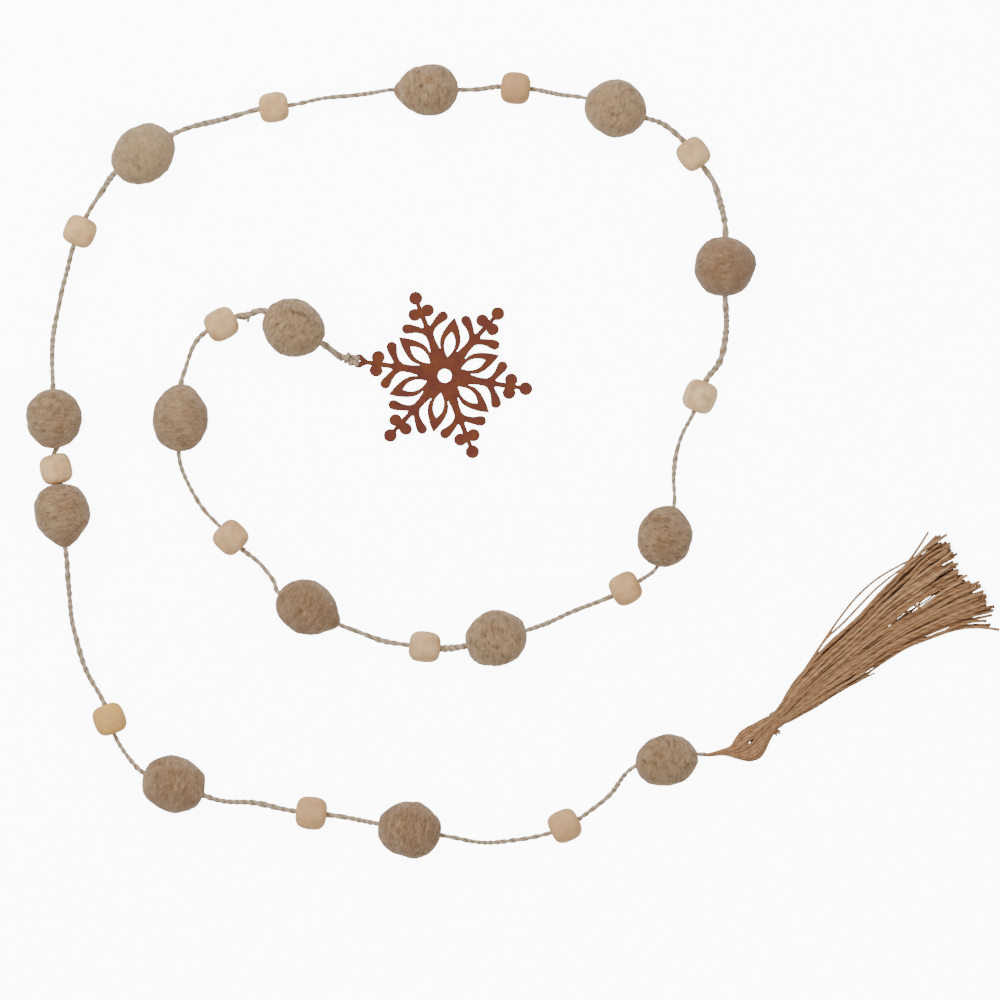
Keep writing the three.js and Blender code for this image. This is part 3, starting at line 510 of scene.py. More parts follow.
class Wire:
    """An output socket, with the arithmetic that the finishes write."""

    def __init__(self, finish, socket):
        self.finish, self.socket = finish, socket

    def maths(self, operation, *values):
        return self.finish.node("ShaderNodeMath", {"operation": operation}, *values)

    def __add__(self, other):
        return self.maths("ADD", self, other)

    def __sub__(self, other):
        return self.maths("SUBTRACT", self, other)

    def __rsub__(self, other):
        return self.maths("SUBTRACT", other, self)

    def __mul__(self, other):
        return self.maths("MULTIPLY", self, other)

    __radd__, __rmul__ = __add__, __mul__

    def clamp(self):
        return self.finish.node("ShaderNodeClamp", {}, self, 0.0, 1.0)

    def between(self, low, high):
        """0 below low, 1 above high, and smooth from one to the other."""
        ranges = {"interpolation_type": "SMOOTHSTEP"}
        return self.finish.node("ShaderNodeMapRange", ranges, self, low, high, 0.0, 1.0)


class Finish:
    """A material under construction."""

    def __init__(self, name, roughness, **constants):
        self.material = bpy.data.materials.new(name)
        self.material.use_nodes = True
        self.tree = self.material.node_tree
        self.shader = self.tree.nodes["Principled BSDF"]
        self.shader.inputs["Roughness"].default_value = roughness
        for socket, value in constants.items():
            self.shader.inputs[socket.replace("_", " ")].default_value = value

    def feed(self, socket, value):
        if isinstance(value, Wire):
            self.tree.links.new(value.socket, socket)
        else:
            socket.default_value = value

    def node(self, kind, settings, *values, output=0, **named):
        """A node of any type: its settings, then the values or links of its sockets in their
        order, or by name."""
        node = self.tree.nodes.new(kind)
        for key, value in settings.items():
            setattr(node, key, value)
        for socket, value in zip([s for s in node.inputs if s.enabled], values):
            self.feed(socket, value)
        for key, value in named.items():
            self.feed(node.inputs[key.replace("_", " ")], value)
        return Wire(self, node.outputs[output])

    def place(self):
        return self.node("ShaderNodeTexCoord", {}, output="Object")

    def own(self, name, output="Fac"):
        """A value that the piece's points keep."""
        return self.node("ShaderNodeAttribute", {"attribute_name": name}, output=output)

    def stretched(self, vector, *factors):
        return self.node("ShaderNodeVectorMath", {"operation": "MULTIPLY"}, vector, factors)

    def noise(self, vector, scale, detail=3.0, roughness=0.55, curl=0.0):
        return self.node(
            "ShaderNodeTexNoise", {}, Vector=vector, Scale=scale, Detail=detail,
            Roughness=roughness, Distortion=curl,
        )

    def mix(self, share, first, second):
        """First where share is 0 and second where it is 1."""
        node = self.tree.nodes.new("ShaderNodeMix")
        node.data_type = "RGBA"
        for socket, value in zip((node.inputs[0], node.inputs[6], node.inputs[7]),
                                 (share, first, second)):
            self.feed(socket, value)
        return Wire(self, node.outputs[2])

    def bump(self, height, depth, strength=1.0):
        """Relief of that depth in metres where height goes from 0 to 1."""
        named = {"Height": height, "Strength": strength, "Distance": depth}
        return self.node("ShaderNodeBump", {}, **named)

    def done(self, colour, normal=None, **varying):
        self.feed(self.shader.inputs["Base Color"], colour)
        if normal is not None:
            self.feed(self.shader.inputs["Normal"], normal)
        for socket, value in varying.items():
            self.feed(self.shader.inputs[socket.replace("_", " ")], value)
        return self.material


def felt_finish(colours):
    """Heathered wool: streaks of light and dark fibre that lie across the twine, mottles, and
    a soft pale bloom at the rim."""
    felt = Finish("garland_wool_felt", 0.95, Specular_IOR_Level=0.15, Sheen_Weight=0.5,
                  Sheen_Roughness=0.6, Sheen_Tint=srgb(226, 214, 200))
    grain = felt.own("grain", output="Vector")
    streaked, brown = felt.own("streak"), felt.own("brown")
    bands = felt.noise(felt.stretched(grain, 1.0, 0.4, 0.4), 640.0, 4.0, 0.6, 0.7)
    fibres = felt.noise(felt.stretched(grain, 1.0, 0.35, 0.35), 1500.0, 3.0, 0.6, 1.2)
    mottle = felt.noise(grain, 210.0, 5.0, 0.7, 0.5)
    patch = felt.noise(grain, 90.0, 2.0)
    warm = felt.mix(brown * 0.85 + (patch - 0.5) * 1.0, colours.felt_pale, colours.felt_brown)
    dark = bands.between(0.46, 0.7) * streaked * 0.7 + mottle.between(0.5, 0.74) * 0.6
    shaded = felt.mix(dark.clamp(), warm, colours.felt_dark)
    pale = (1 - bands.between(0.3, 0.52)) * 0.45 + (1 - mottle.between(0.25, 0.5)) * 0.3
    lit = felt.mix((pale * fibres.between(0.35, 0.65)).clamp(), shaded, colours.felt_light)
    speck = felt.mix(fibres.between(0.6, 0.8) * 0.35, lit, colours.felt_dark)
    relief = bands * 0.25 + fibres * 0.45 + mottle * 0.3
    return felt.done(speck, felt.bump(relief, 0.0007, 0.9))


def wood_finish(colours):
    """Pale sanded beech: fine grain along the bore, faint pores and a dull natural surface."""
    wood = Finish("garland_pale_wood", 0.62, Specular_IOR_Level=0.3)
    grain, brown, dark = wood.own("grain", output="Vector"), wood.own("brown"), wood.own("streak")
    rings = wood.noise(wood.stretched(grain, 0.08, 1.0, 1.0), 380.0, 3.0, 0.6)
    pores = wood.noise(wood.stretched(grain, 0.05, 1.0, 1.0), 3200.0, 2.0, 0.5)
    cloud = wood.noise(grain, 170.0, 2.0)
    base = wood.mix(brown, colours.wood_pale, colours.wood_yellow)
    warm = wood.mix((rings.between(0.45, 0.75) * 0.3 + dark * 0.8).clamp(), base,
                    colours.wood_grain)
    tinted = wood.mix(cloud.between(0.4, 0.66) * 0.6, warm, colours.wood_grain)
    pored = wood.mix(pores.between(0.6, 0.75) * 0.2, tinted, colours.wood_grain)
    relief = rings * 0.4 + pores * 0.6
    return wood.done(pored, wood.bump(relief, 0.00012, 0.6), Roughness=0.55 + rings * 0.15)


def jute_finish(name, pale, middle, dark, twist):
    """Jute: fine fibres that wind round the yarn, each yarn in its own tone, with pale and
    dark lengths, and painted shade in the grooves between the plies. In the tassel the tone
    also holds painted shade, darker on the lower yarns. The UV map runs round the yarn and
    along it in metres."""
    jute = Finish(name, 0.85, Specular_IOR_Level=0.25, Sheen_Weight=0.15,
                  Sheen_Roughness=0.5)
    uv = jute.node("ShaderNodeUVMap", {"uv_map": "along"})
    split = jute.tree.nodes.new("ShaderNodeSeparateXYZ")
    jute.feed(split.inputs[0], uv)
    turn, along = Wire(jute, split.outputs[0]), Wire(jute, split.outputs[1])
    tone, ply = jute.own("tone"), jute.own("ply")
    wound = (turn + along * twist) * (2 * math.pi)
    ring = jute.node(
        "ShaderNodeCombineXYZ", {}, wound.maths("COSINE", wound), wound.maths("SINE", wound),
        along * 160.0 + tone * 37.0,
    )
    fibres = jute.noise(jute.stretched(ring, 3.2, 3.2, 0.5), 1.6, 3.0, 0.6)
    lengths = jute.noise(jute.stretched(ring, 0.2, 0.2, 0.9), 1.0, 2.0)
    # ply is painted shade: the yarn gets darker towards the grooves between its plies. In the
    # tassel, tone also carries painted shade on the lower yarns.
    shade = (tone * 0.55 + lengths * 0.5 + fibres * 0.6 + ply * 0.5 - 0.67).clamp()
    body = jute.mix(shade.between(0.0, 0.55), dark, middle)
    lit = jute.mix(shade.between(0.5, 1.0), body, pale)
    return jute.done(lit, jute.bump(fibres, 0.0003, 0.8))


def rust_finish(colours):
    """Rusted steel: fine matt pits, patches from orange to dark brown, and darker edges where
    the sheet's face turns."""
    rust = Finish("garland_rusted_metal", 0.75, Specular_IOR_Level=0.35)
    place, edge = rust.place(), rust.own("edge")
    patch = rust.noise(place, 130.0, 4.0, 0.6)
    grain = rust.noise(place, 1500.0, 3.0, 0.65)
    spots = rust.noise(place, 480.0, 3.0, 0.6)
    base = rust.mix(patch.between(0.35, 0.7), colours.rust_red, colours.rust_orange)
    spotted = rust.mix(spots.between(0.5, 0.75) * 0.3, base, colours.rust_dark)
    grained = rust.mix(grain.between(0.5, 0.8) * 0.2, spotted, colours.rust_dark)
    rimmed = rust.mix(edge * (0.55 + patch * 0.4), grained, colours.rust_dark)
    relief = grain * 0.6 + spots * 0.4
    return rust.done(rimmed, rust.bump(relief, 0.0002, 0.7), Roughness=0.62 + spots * 0.25,
                     Metallic=(0.1 + 0.25 * (1 - patch)).clamp())


# Sizes and colours that a user changes


def colour(name, description, *rgb):
    return FloatVectorProperty(
        name=name, description=description, default=srgb(*rgb), size=4, subtype="COLOR",
        min=0.0, max=1.0,
    )


class GarlandColours(PropertyGroup):
    felt_pale: colour("Pale felt", "Greyer wool", 174, 145, 105)
    felt_brown: colour("Brown felt", "Browner wool", 132, 97, 69)
    felt_dark: colour("Dark fibres", "Dark streaks in the wool", 92, 64, 40)
    felt_light: colour("Light fibres", "Light streaks in the wool", 202, 180, 148)
    wood_pale: colour("Pale wood", "Plain bead", 245, 207, 157)
    wood_yellow: colour("Yellow wood", "Warmer bead", 238, 184, 98)
    wood_grain: colour("Wood grain", "Grain lines", 200, 154, 106)
    # The dark twine and dark yarn colours also fill the painted shade in the grooves between the
    # plies and on the tassel's lower yarns.
    twine_pale: colour("Pale twine", "Lit fibres of the twine", 216, 196, 172)
    twine_middle: colour("Twine", "The twine's main colour", 186, 164, 136)
    twine_dark: colour("Dark twine", "Dark fibres of the twine", 108, 82, 54)
    yarn_pale: colour("Pale yarn", "Lit fibres of the tassel", 208, 166, 124)
    yarn_middle: colour("Yarn", "The tassel's main colour", 168, 124, 84)
    yarn_dark: colour("Dark yarn", "Dark fibres of the tassel", 100, 62, 36)
    rust_red: colour("Red rust", "Main colour of the snowflake", 113, 54, 40)
    rust_orange: colour("Orange rust", "Brighter patches", 124, 64, 34)
    rust_dark: colour("Dark rust", "Edges and pits", 66, 44, 38)
    floor: colour("Floor", "The pale surface", 246, 246, 245)


def size(name, description, default, low, high):
    return FloatProperty(
        name=name, description=description, default=default, min=low, max=high, unit="LENGTH",
    )


class GarlandSizes(PropertyGroup):
    twine_width: size("Twine width", "Diameter of the twine", 0.002, 0.001, 0.004)
    twine_lay: size("Twine lay", "Length in which the plies turn once", 0.009, 0.003, 0.03)
    bead_bore: size("Bead bore", "Radius of the hole in a bead", 0.0017, 0.001, 0.003)
    flake_thickness: size(
        "Snowflake thickness", "Thickness of the sheet", 0.0012, 0.0005, 0.003,
    )
    felt_fuzz: IntProperty(
        name="Felt fibres", description="Loose fibres on each ball", default=420,
        min=0, max=1000,
    )


# The twine's route


def rest_height(piece):
    """Height of a piece's centre when its flat spot is on the surface: the distance from the
    centre to the lowest point of its tilted ellipse, less the flat spot, plus its lift."""
    pitch = math.radians(piece.pitch)
    ends, sides = piece.length / 2 * math.sin(pitch), piece.width / 2 * math.cos(pitch)
    return math.hypot(ends, sides) - FLAT_SPOT[piece.kind] + piece.lift


def centre_of(piece):
    return np.array([*(np.array([piece.x, piece.y]) - PLAN_MIDDLE), rest_height(piece)])


def mouth(piece, sign):
    """The point on the twine 1 mm beyond a piece's end, before it or after it."""
    tip = piece.tip_in if sign < 0 else piece.tip_out
    reach = piece.length / 2 + tip + CORD_STRAIGHT
    return centre_of(piece) + sign * reach * heading_vector(piece.heading, piece.pitch)


def hanging(start, end, via):
    """Points of a free stretch: the straight line's height less a parabola 4 s L u (1 - u)
    deep, at the share u of its length L, and no lower than the surface lets it."""
    via = np.asarray(via, float).reshape(-1, 2) - PLAN_MIDDLE
    plan = np.vstack([start[:2], via, end[:2]])
    length = distances(plan)
    u = (length / length[-1])[1:-1]
    line = start[2] + (end[2] - start[2]) * u
    height = np.maximum(line - 4 * CORD_SAG * length[-1] * u * (1 - u), CORD_LOWEST)
    return np.column_stack([via, height])


# The heading and pitch of the snowflake's knot.
KNOT_AXIS = heading_vector(157, 15)


def beside_disc(out, side, height):
    """A point beside the snowflake's pierced disc: outwards, sideways, and its height."""
    heading = FLAKE_HEADING + 180 + ARMS[PIERCED_ARM].bend
    outward, across = heading_vector(heading), heading_vector(heading + 90)
    plan = FLAKE_CENTRE - PLAN_MIDDLE
    place = np.array([plan[0], plan[1], height])
    return place + outward * (FLAKE_DISC + out) + across * side


KNOT_CENTRE = beside_disc(0.0062, 0.0004, 0.0036)


def to_garland(points):
    """Points of the tassel's own frame, turned by its heading and moved to its neck."""
    forward, left = heading_vector(TASSEL_HEADING), heading_vector(TASSEL_HEADING + 90)
    neck = np.array([*(TASSEL_NECK - PLAN_MIDDLE), 0])
    return neck + points[..., :1] * forward + points[..., 1:2] * left + points[..., 2:] * UP


def twine_route():
    """Points, directions and thicknesses of the whole twine, from the snowflake's knot to the
    tassel. At a mouth the twine heads half along the bore and half to its next point."""
    points = [KNOT_CENTRE + KNOT_AXIS * 0.003]
    slopes = [KNOT_AXIS]
    thick = [TWINE_AT_KNOT]
    for number, piece in enumerate(PIECES):
        forward = heading_vector(piece.heading, piece.pitch)
        before, after = mouth(piece, -1), mouth(piece, 1)
        gap = before - points[-1]
        if np.linalg.norm(gap) > 2 * CORD_STRAIGHT:
            points.append(before)
            slopes.append(unit(forward + unit(gap)))
            thick.append(thick[-1])
        points.append(after)
        slopes.append(forward)
        thick.append(piece.twine)
        if number + 1 < len(PIECES):
            following = mouth(PIECES[number + 1], -1)
            stretch = hanging(after, following, piece.via)
            around = np.vstack([after, stretch, following])
            slopes[-1] = unit(forward + unit(around[1] - around[0]))
            points.extend(stretch)
            slopes.extend(unit(around[2:] - around[:-2]))
            thick.extend([piece.twine] * len(stretch))
    for along, side, height in TWINE_END:
        points.append(to_garland(np.array([along, side, height])))
        slopes.append(heading_vector(4, -12))
        thick.append(thick[-1])
    return np.array(points), np.array(slopes), np.array(thick)


def twine_line(step=0.0008):
    """The twine's middle line as points an even step apart, wavering by 0.2 mm, its distance
    from the start and its thickness."""
    points, slopes, thick = twine_route()
    line = smooth_line(points, ROUTE_STEPS, slopes)
    thick = np.interp(np.arange(len(line)), np.arange(len(points)) * ROUTE_STEPS, thick)
    length = distances(line)
    even = np.linspace(0, length[-1], int(length[-1] / step))
    line = np.column_stack([np.interp(even, length, line[:, axis]) for axis in range(3)])
    aside = beside(np.gradient(line, axis=0))
    line = line + aside * 0.0002 * wander(even, "waver", 0.022)[0][:, None]
    return line, even, np.interp(even, length, thick)


# Operators


class GARLAND_OT_stage(Operator):
    """Lays the pale surface and sets the soft lights and the camera above the garland"""

    bl_idname = "garland.stage"
    bl_label = "Stage"

    def execute(self, context):
        scene = context.scene
        camera = bpy.data.objects.new("camera", bpy.data.cameras.new("camera"))
        camera.data.lens, camera.data.sensor_width = LENS, SENSOR
        camera.data.clip_start, camera.data.clip_end = 0.5, 50.0
        camera.location = (*VIEW_MIDDLE, VIEW_HEIGHT + VIEW_WIDTH * LENS / SENSOR)
        scene.collection.objects.link(camera)
        scene.camera = camera

        mesh = bpy.data.meshes.new("floor")
        corners = [(x * FLOOR_HALF, y * FLOOR_HALF, -FLOOR_DEPTH)
                   for x, y in ((-1, -1), (1, -1), (1, 1), (-1, 1))]
        mesh.from_pydata(corners, [], [(0, 1, 2, 3)])
        floor = bpy.data.objects.new("floor", mesh)
        scene.collection.objects.link(floor)
        surface = Finish("stage_floor", 0.9, Specular_IOR_Level=0.1)
        cloud = surface.noise(surface.place(), 3.0)
        tint = surface.mix(cloud * 0.08, scene.garland_colours.floor, srgb(236, 236, 236))
        surface.shader.inputs["Emission Color"].default_value = (1, 1, 1, 1)
        surface.shader.inputs["Emission Strength"].default_value = FLOOR_GLOW
        mesh.materials.append(surface.done(tint))
        glow = bpy.data.collections.new("floor_glow")
        glow.objects.link(floor)
        floor.light_linking.receiver_collection = glow

        for row in LAMPS:
            light = bpy.data.lights.new(row.name, "AREA")
            light.shape, light.size, light.energy = "DISK", row.size, row.power
            lamp = bpy.data.objects.new(row.name, light)
            lamp.location = row.place
            aim = -np.array(row.place)
            yaw = math.atan2(aim[1], aim[0]) - math.pi / 2
            tip = math.atan2(math.hypot(aim[0], aim[1]), -aim[2])
            lamp.rotation_euler = (tip, 0, yaw)
            scene.collection.objects.link(lamp)
        world = bpy.data.worlds.new("studio")
        world.use_nodes = True
        world.node_tree.nodes["Background"].inputs[0].default_value = (1, 1, 1, 1)
        world.node_tree.nodes["Background"].inputs[1].default_value = ROOM_LIGHT
        scene.world = world
        return {"FINISHED"}


class GARLAND_OT_twine(Operator):
    """Twists the two plies of jute twine along the whole route"""

    bl_idname = "garland.twine"
    bl_label = "Twine"

    def execute(self, context):
        sizes, colours = context.scene.garland_sizes, context.scene.garland_colours
        line, even, thick = twine_line()
        uneven = 1 + 0.09 * wander(even, "bulge", 0.03)[0] + 0.07 * wander(even, "slub", 0.006)[0]
        radius = thick / 2 * uneven * (sizes.twine_width / TWINE_DRAWN)
        turns = even / sizes.twine_lay + 0.35 * wander(even, "lay", 0.05)[0]
        skin = Skin("twine")
        add_tubes(skin, line[None], radius[None], 12, spin=2 * math.pi * turns[None],
                  groove=0.26, tone=0.5)
        twine = skin.make(jute_material("twine", colours), "cord", slot="jute_twine")
        return {"FINISHED"}


def threaded(kind, node):
    """The number, name and row of each ball or bead in the order of the twine."""
    chosen = [piece for piece in PIECES if piece.kind == kind]
    return [(number, f"{node}_{number:02d}", piece) for number, piece in enumerate(chosen, 1)]


def ring_round(piece, sides):
    """A piece's axes, and unit vectors all round its twine."""
    angle = 2 * math.pi * np.arange(sides) / sides
    axes = piece_axes(piece.heading, piece.pitch)
    return axes, np.cos(angle)[:, None] * axes[1] + np.sin(angle)[:, None] * axes[2]


def make_threaded(skin, name, piece, points, shift, material, slot):
    """Closes rings of points into a ball or bead that keeps its grain, brownness and streaks.
    The grain is the place in the piece's own axes, moved by shift so that no two look alike."""
    quads, corners = ring_faces(*points.shape[:2], closed=True)
    flat = points.reshape(-1, 3)
    local = (flat - centre_of(piece)) @ piece_axes(piece.heading, piece.pitch).T
    skin.add(flat, [quads], [corners], grain=local + shift,
             brown=np.full(len(flat), piece.brown), streak=np.full(len(flat), piece.streak))
    return skin.make(material, name, slot=slot)


class GARLAND_OT_felt_balls(Operator):
    """Shapes the fourteen felt balls, with their tips, dents, bores and loose fibres"""

    bl_idname = "garland.felt_balls"
    bl_label = "Felt balls"

    def execute(self, context):
        sizes, colours = context.scene.garland_sizes, context.scene.garland_colours
        material = felt_finish(colours)
        fuzz = Skin("felt_fibres")
        for number, name, piece in threaded("ball", "felt_ball"):
            points, normals, around = self.surface(piece, number, name)
            ball = make_threaded(Skin(name + "_wool"), name, piece, points, 0.1 * number,
                                 material, "wool_felt")
            self.add_fuzz(fuzz, points, normals, around, name, sizes.felt_fuzz)
        fuzz.make(felt_fibre_material(colours), slot="wool_felt")
        return {"FINISHED"}

    def surface(self, piece, number, name):
        """The ball as rings round the twine. At the angle t from one mouth to the other the
        ring is at x = -L/2 cos t - tip cos^6 t with the radius W/2 sin t, pushed out by the
        bumps and by smooth noise, and pulled in at the mouths. The bore closes it."""
        rows, sides = 74, 120
        bore = 0.00105
        first = math.asin(bore / (piece.width / 2))
        t = np.linspace(first, math.pi - first, rows)
        cosine = np.cos(t)
        tip = np.where(cosine > 0, piece.tip_in, piece.tip_out) * np.abs(cosine) ** 6
        along = -piece.length / 2 * cosine - np.sign(cosine) * tip
        radius = piece.width / 2 * np.sin(t)
        pinch = np.where(cosine > 0, piece.tip_in, piece.tip_out) / 0.0035
        radius = radius * (1 - 0.12 * pinch * np.exp(-((np.abs(cosine) - 0.93) / 0.09) ** 2))
        axes, ring = ring_round(piece, sides)
        outward = -cosine[:, None, None] * axes[0] + np.sin(t)[:, None, None] * ring[None]
        outward = unit(outward)
        points = along[:, None, None] * axes[0] + radius[:, None, None] * ring[None]
        free = np.clip((np.sin(t) - np.sin(first)) / 0.3, 0, 1)[:, None]
        swell = 0.00032 * ripple(points, name + "lump", 0.014)
        swell = swell + 0.00012 * ripple(points, name + "dimple", 0.004)
        swell = swell + 0.00004 * ripple(points, name + "nap", 0.0013, 24)
        for bump in BUMPS:
            if bump.ball == number:
                towards = heading_vector(bump.heading, bump.up)
                gap = np.linalg.norm(outward - towards, axis=-1)
                swell = swell + bump.height * np.exp(-((gap / bump.spread) ** 2))
        points = points + outward * (swell * free)[..., None]
        inner = bore * ring[None] + np.linspace(along[-1], along[0], 9)[1:-1, None, None] * axes[0]
        points = np.concatenate([points, inner]) + centre_of(piece)
        points[..., 2] = np.maximum(points[..., 2], piece.lift)
        around = np.cross(axes[0], outward)
        return points, outward, around

    def add_fuzz(self, fuzz, points, normals, around, name, count):
        """Loose fibres at random places of the outer surface, lying across the twine."""
        random = random_for(name + "fuzz")
        rows, sides = normals.shape[:2]
        row = np.clip((rows * np.arccos(random.uniform(-0.97, 0.97, count)) / math.pi), 1,
                      rows - 2).astype(int)
        side = random.integers(0, sides, count)
        roots = points[row, side] - normals[row, side] * 0.0001
        above = roots[:, 2] > 0.0012
        add_hairs(fuzz, roots[above], normals[row, side][above], around[row, side][above],
                  name + "hair", 0.0022, 0.00003)


class GARLAND_OT_wood_beads(Operator):
    """Turns the thirteen wooden beads with their bores"""

    bl_idname = "garland.wood_beads"
    bl_label = "Wooden beads"

    def execute(self, context):
        sizes, colours = context.scene.garland_sizes, context.scene.garland_colours
        material = wood_finish(colours)
        for number, name, piece in threaded("bead", "wood_bead"):
            points = self.surface(piece, name, sizes.bead_bore)
            make_threaded(Skin(name + "_turned"), name, piece, points, 0.07 * number,
                          material, "pale_wood")
        return {"FINISHED"}

    def surface(self, piece, name, bore):
        """The bead as rings round the twine. At the angle t it follows the superellipse
        u^n + v^n = 1 with n 4.2, its side bulged to W/2 v (1 - 0.12 u^2) and its ends domed to
        L/2 u (1 - 0.04 v^2), a little uneven. The edge of the bore is rounded."""
        rows, sides, power, ease = 56, 72, 4.2, 0.0004
        half, wide = piece.length / 2, piece.width / 2
        first = math.atan((bore + ease) / wide)
        t = np.linspace(first, math.pi - first, rows)
        squared = (np.abs(np.cos(t)) ** power + np.sin(t) ** power) ** (-1 / power)
        u, v = squared * np.cos(t), squared * np.sin(t)
        along = -half * u * (1 - 0.04 * v**2)
        radius = wide * v * (1 - 0.12 * u**2)
        edge = np.array([0.0, 0.35, 0.75, 1.0])
        turned = bore + ease * (1 - np.sin(edge * math.pi / 2))
        sunk = ease * (1 - np.cos(edge * math.pi / 2))
        radius = np.concatenate([radius, turned[1:], turned[:0:-1]])
        along = np.concatenate([along, along[-1] - sunk[1:], along[0] + sunk[:0:-1]])
        axes, ring = ring_round(piece, sides)
        points = along[:, None, None] * axes[0] + radius[:, None, None] * ring[None]
        uneven = 1 + 0.008 * ripple(points, name, 0.014)[..., None]
        points = points * uneven + centre_of(piece)
        points[..., 2] = np.maximum(points[..., 2], piece.lift)
        return points


class GARLAND_OT_snowflake(Operator):
    """Cuts the snowflake from sheet with eased edges and lays it on its loop"""

    bl_idname = "garland.snowflake"
    bl_label = "Snowflake"

    def execute(self, context):
        sizes, colours = context.scene.garland_sizes, context.scene.garland_colours
        pierced = np.vstack([ARM_OUTLINE[:TIP_START], PIERCED_TIP])
        halves = [pierced if i == PIERCED_ARM else ARM_OUTLINE for i in range(6)]
        arms = np.vstack([self.turned(self.mirrored(h), 60 * i) for i, h in enumerate(halves)])
        border = offset(self.bent(closed_outline(arms, OUTLINE_STEPS)), FLAKE_GROWTH)
        leaf = self.mirrored(LEAF_OPENING)
        holes = [
            closed_outline(self.turned(leaf, 60 * i + 30), OUTLINE_STEPS) for i in range(6)
        ] + [self.circle(*FLAKE_EYE, 48), self.circle(*LOOP_HOLE, 24)]
        holes = [offset(self.bent(hole), -FLAKE_GROWTH) for hole in holes]
        skin = Skin("snowflake_sheet")
        self.add_sheet(skin, border, holes, sizes.flake_thickness)
        skin.points = [self.laid(points) for points in skin.points]
        skin.make(rust_finish(colours), "snowflake", slot="rusted_metal")
        return {"FINISHED"}

    def mirrored(self, half):
        """Both halves of an outline, the mirror image first."""
        return np.vstack([half * np.array([1, -1, 1]), half[-2:0:-1]])

    def turned(self, rows, degrees):
        angle = math.radians(degrees)
        x = rows[:, 0] * math.cos(angle) - rows[:, 1] * math.sin(angle)
        y = rows[:, 0] * math.sin(angle) + rows[:, 1] * math.cos(angle)
        return np.column_stack([x, y, rows[:, 2]])

    def circle(self, x, y, radius, count):
        angle = 2 * math.pi * np.arange(count) / count
        return np.column_stack([x + radius * np.cos(angle), y + radius * np.sin(angle)])

    def bent(self, loop):
        """The loop with each point turned about the centre by its arm's bend and moved out to
        its arm's reach, both shared evenly between two arms and growing from the hub."""
        heading = np.degrees(np.arctan2(loop[:, 1], loop[:, 0])) % 360
        bend, reach = (
            np.interp(heading, 60 * np.arange(7), values) for values in zip(*ARMS, ARMS[0])
        )
        grown = np.clip((np.linalg.norm(loop, axis=1) - 10) / 28, 0, 1)
        turn, scale = np.radians(bend * grown), 1 + (reach - 1) * grown
        cosine, sine = scale * np.cos(turn), scale * np.sin(turn)
        return np.column_stack([
            loop[:, 0] * cosine - loop[:, 1] * sine, loop[:, 0] * sine + loop[:, 1] * cosine,
        ])

    def add_sheet(self, skin, border, holes, thickness):
        """Each edge as loops at steps inwards from it and down the sheet, eased at both
        corners, and between the innermost loops the flat top and underside as triangles. A
        triangle with all its corners on one opening's loop lies in that opening and is left
        out."""
        half = thickness / MM / 2
        steps = np.array([
            [RIM_WIDTH, half, 0], [0.15, half, 1], [0.04, half - 0.04, 1], [0, half - 0.15, 1],
            [0, 0.15 - half, 1], [0.04, 0.04 - half, 1], [0.15, -half, 1], [RIM_WIDTH, -half, 0],
        ])
        top, under, flat = [], [], []
        for loop, inwards in [(border, -1)] + [(hole, 1) for hole in holes]:
            count, start = len(loop), skin.count
            rings = [
                np.column_stack([offset(loop, inwards * depth), np.full(count, height)])
                for depth, height, _ in steps
            ]
            quads, corners = ring_faces(len(rings), count, closed=False)
            skin.add(np.vstack(rings), [quads[:, ::inwards]], [corners],
                     edge=np.repeat(steps[:, 2], count))
            top.append(start + np.arange(count))
            under.append(skin.count - count + np.arange(count))
            flat.append(rings[0][:, :2])
        sizes = [len(loop) for loop in flat]
        edges = [
            (start + i, start + (i + 1) % size)
            for start, size in zip(np.cumsum([0] + sizes).tolist(), sizes) for i in range(size)
        ]
        inside = 1
        points = [Vector(point) for point in np.vstack(flat).tolist()]
        made = delaunay_2d_cdt(points, edges, [], inside, 1e-7)
        triangles = np.array([given[0] for given in made[3]])[np.array(made[2])]
        owner = np.repeat(np.arange(len(sizes)), sizes)[triangles]
        in_hole = (owner[:, 0] > 0) & (owner == owner[:, :1]).all(1)
        skin.span(np.concatenate(top)[triangles[~in_hole]])
        skin.span(np.concatenate(under)[triangles[~in_hole]][:, ::-1])

    def laid(self, points):
        """Points of the flat sheet in millimetres, tilted by FLAKE_TILT about its own Y, turned
        by its heading and set with its far tip on the surface."""
        flat = points * MM + np.array([0, 0, bpy.context.scene.garland_sizes.flake_thickness / 2])
        ct, st = math.cos(FLAKE_TILT), math.sin(FLAKE_TILT)
        x = flat[:, 0] * ct + flat[:, 2] * st
        z = FLAKE_REACH * st + flat[:, 2] * ct - flat[:, 0] * st
        forward, left = heading_vector(FLAKE_HEADING), heading_vector(FLAKE_HEADING + 90)
        place = np.array([*(FLAKE_CENTRE - PLAN_MIDDLE), 0])
        laid = place + x[:, None] * forward + flat[:, 1:2] * left
        laid[:, 2] = np.maximum(z, 0)
        return laid


def jute_material(part, colours):
    """The finish of the twine or of the tassel's yarn, made once and then shared."""
    name = "garland_jute_" + part
    if name in bpy.data.materials:
        return bpy.data.materials[name]
    tones = [getattr(colours, f"{part}_{tone}") for tone in ("pale", "middle", "dark")]
    return jute_finish(name, *tones, FIBRE_TWIST[part])


def felt_fibre_material(colours):
    """Single wool fibres: pale, a little different each."""
    fibre = Finish("garland_wool_fibre", 0.9, Specular_IOR_Level=0.15)
    tone = fibre.own("tone")
    return fibre.done(fibre.mix(tone, colours.felt_pale, colours.felt_light))


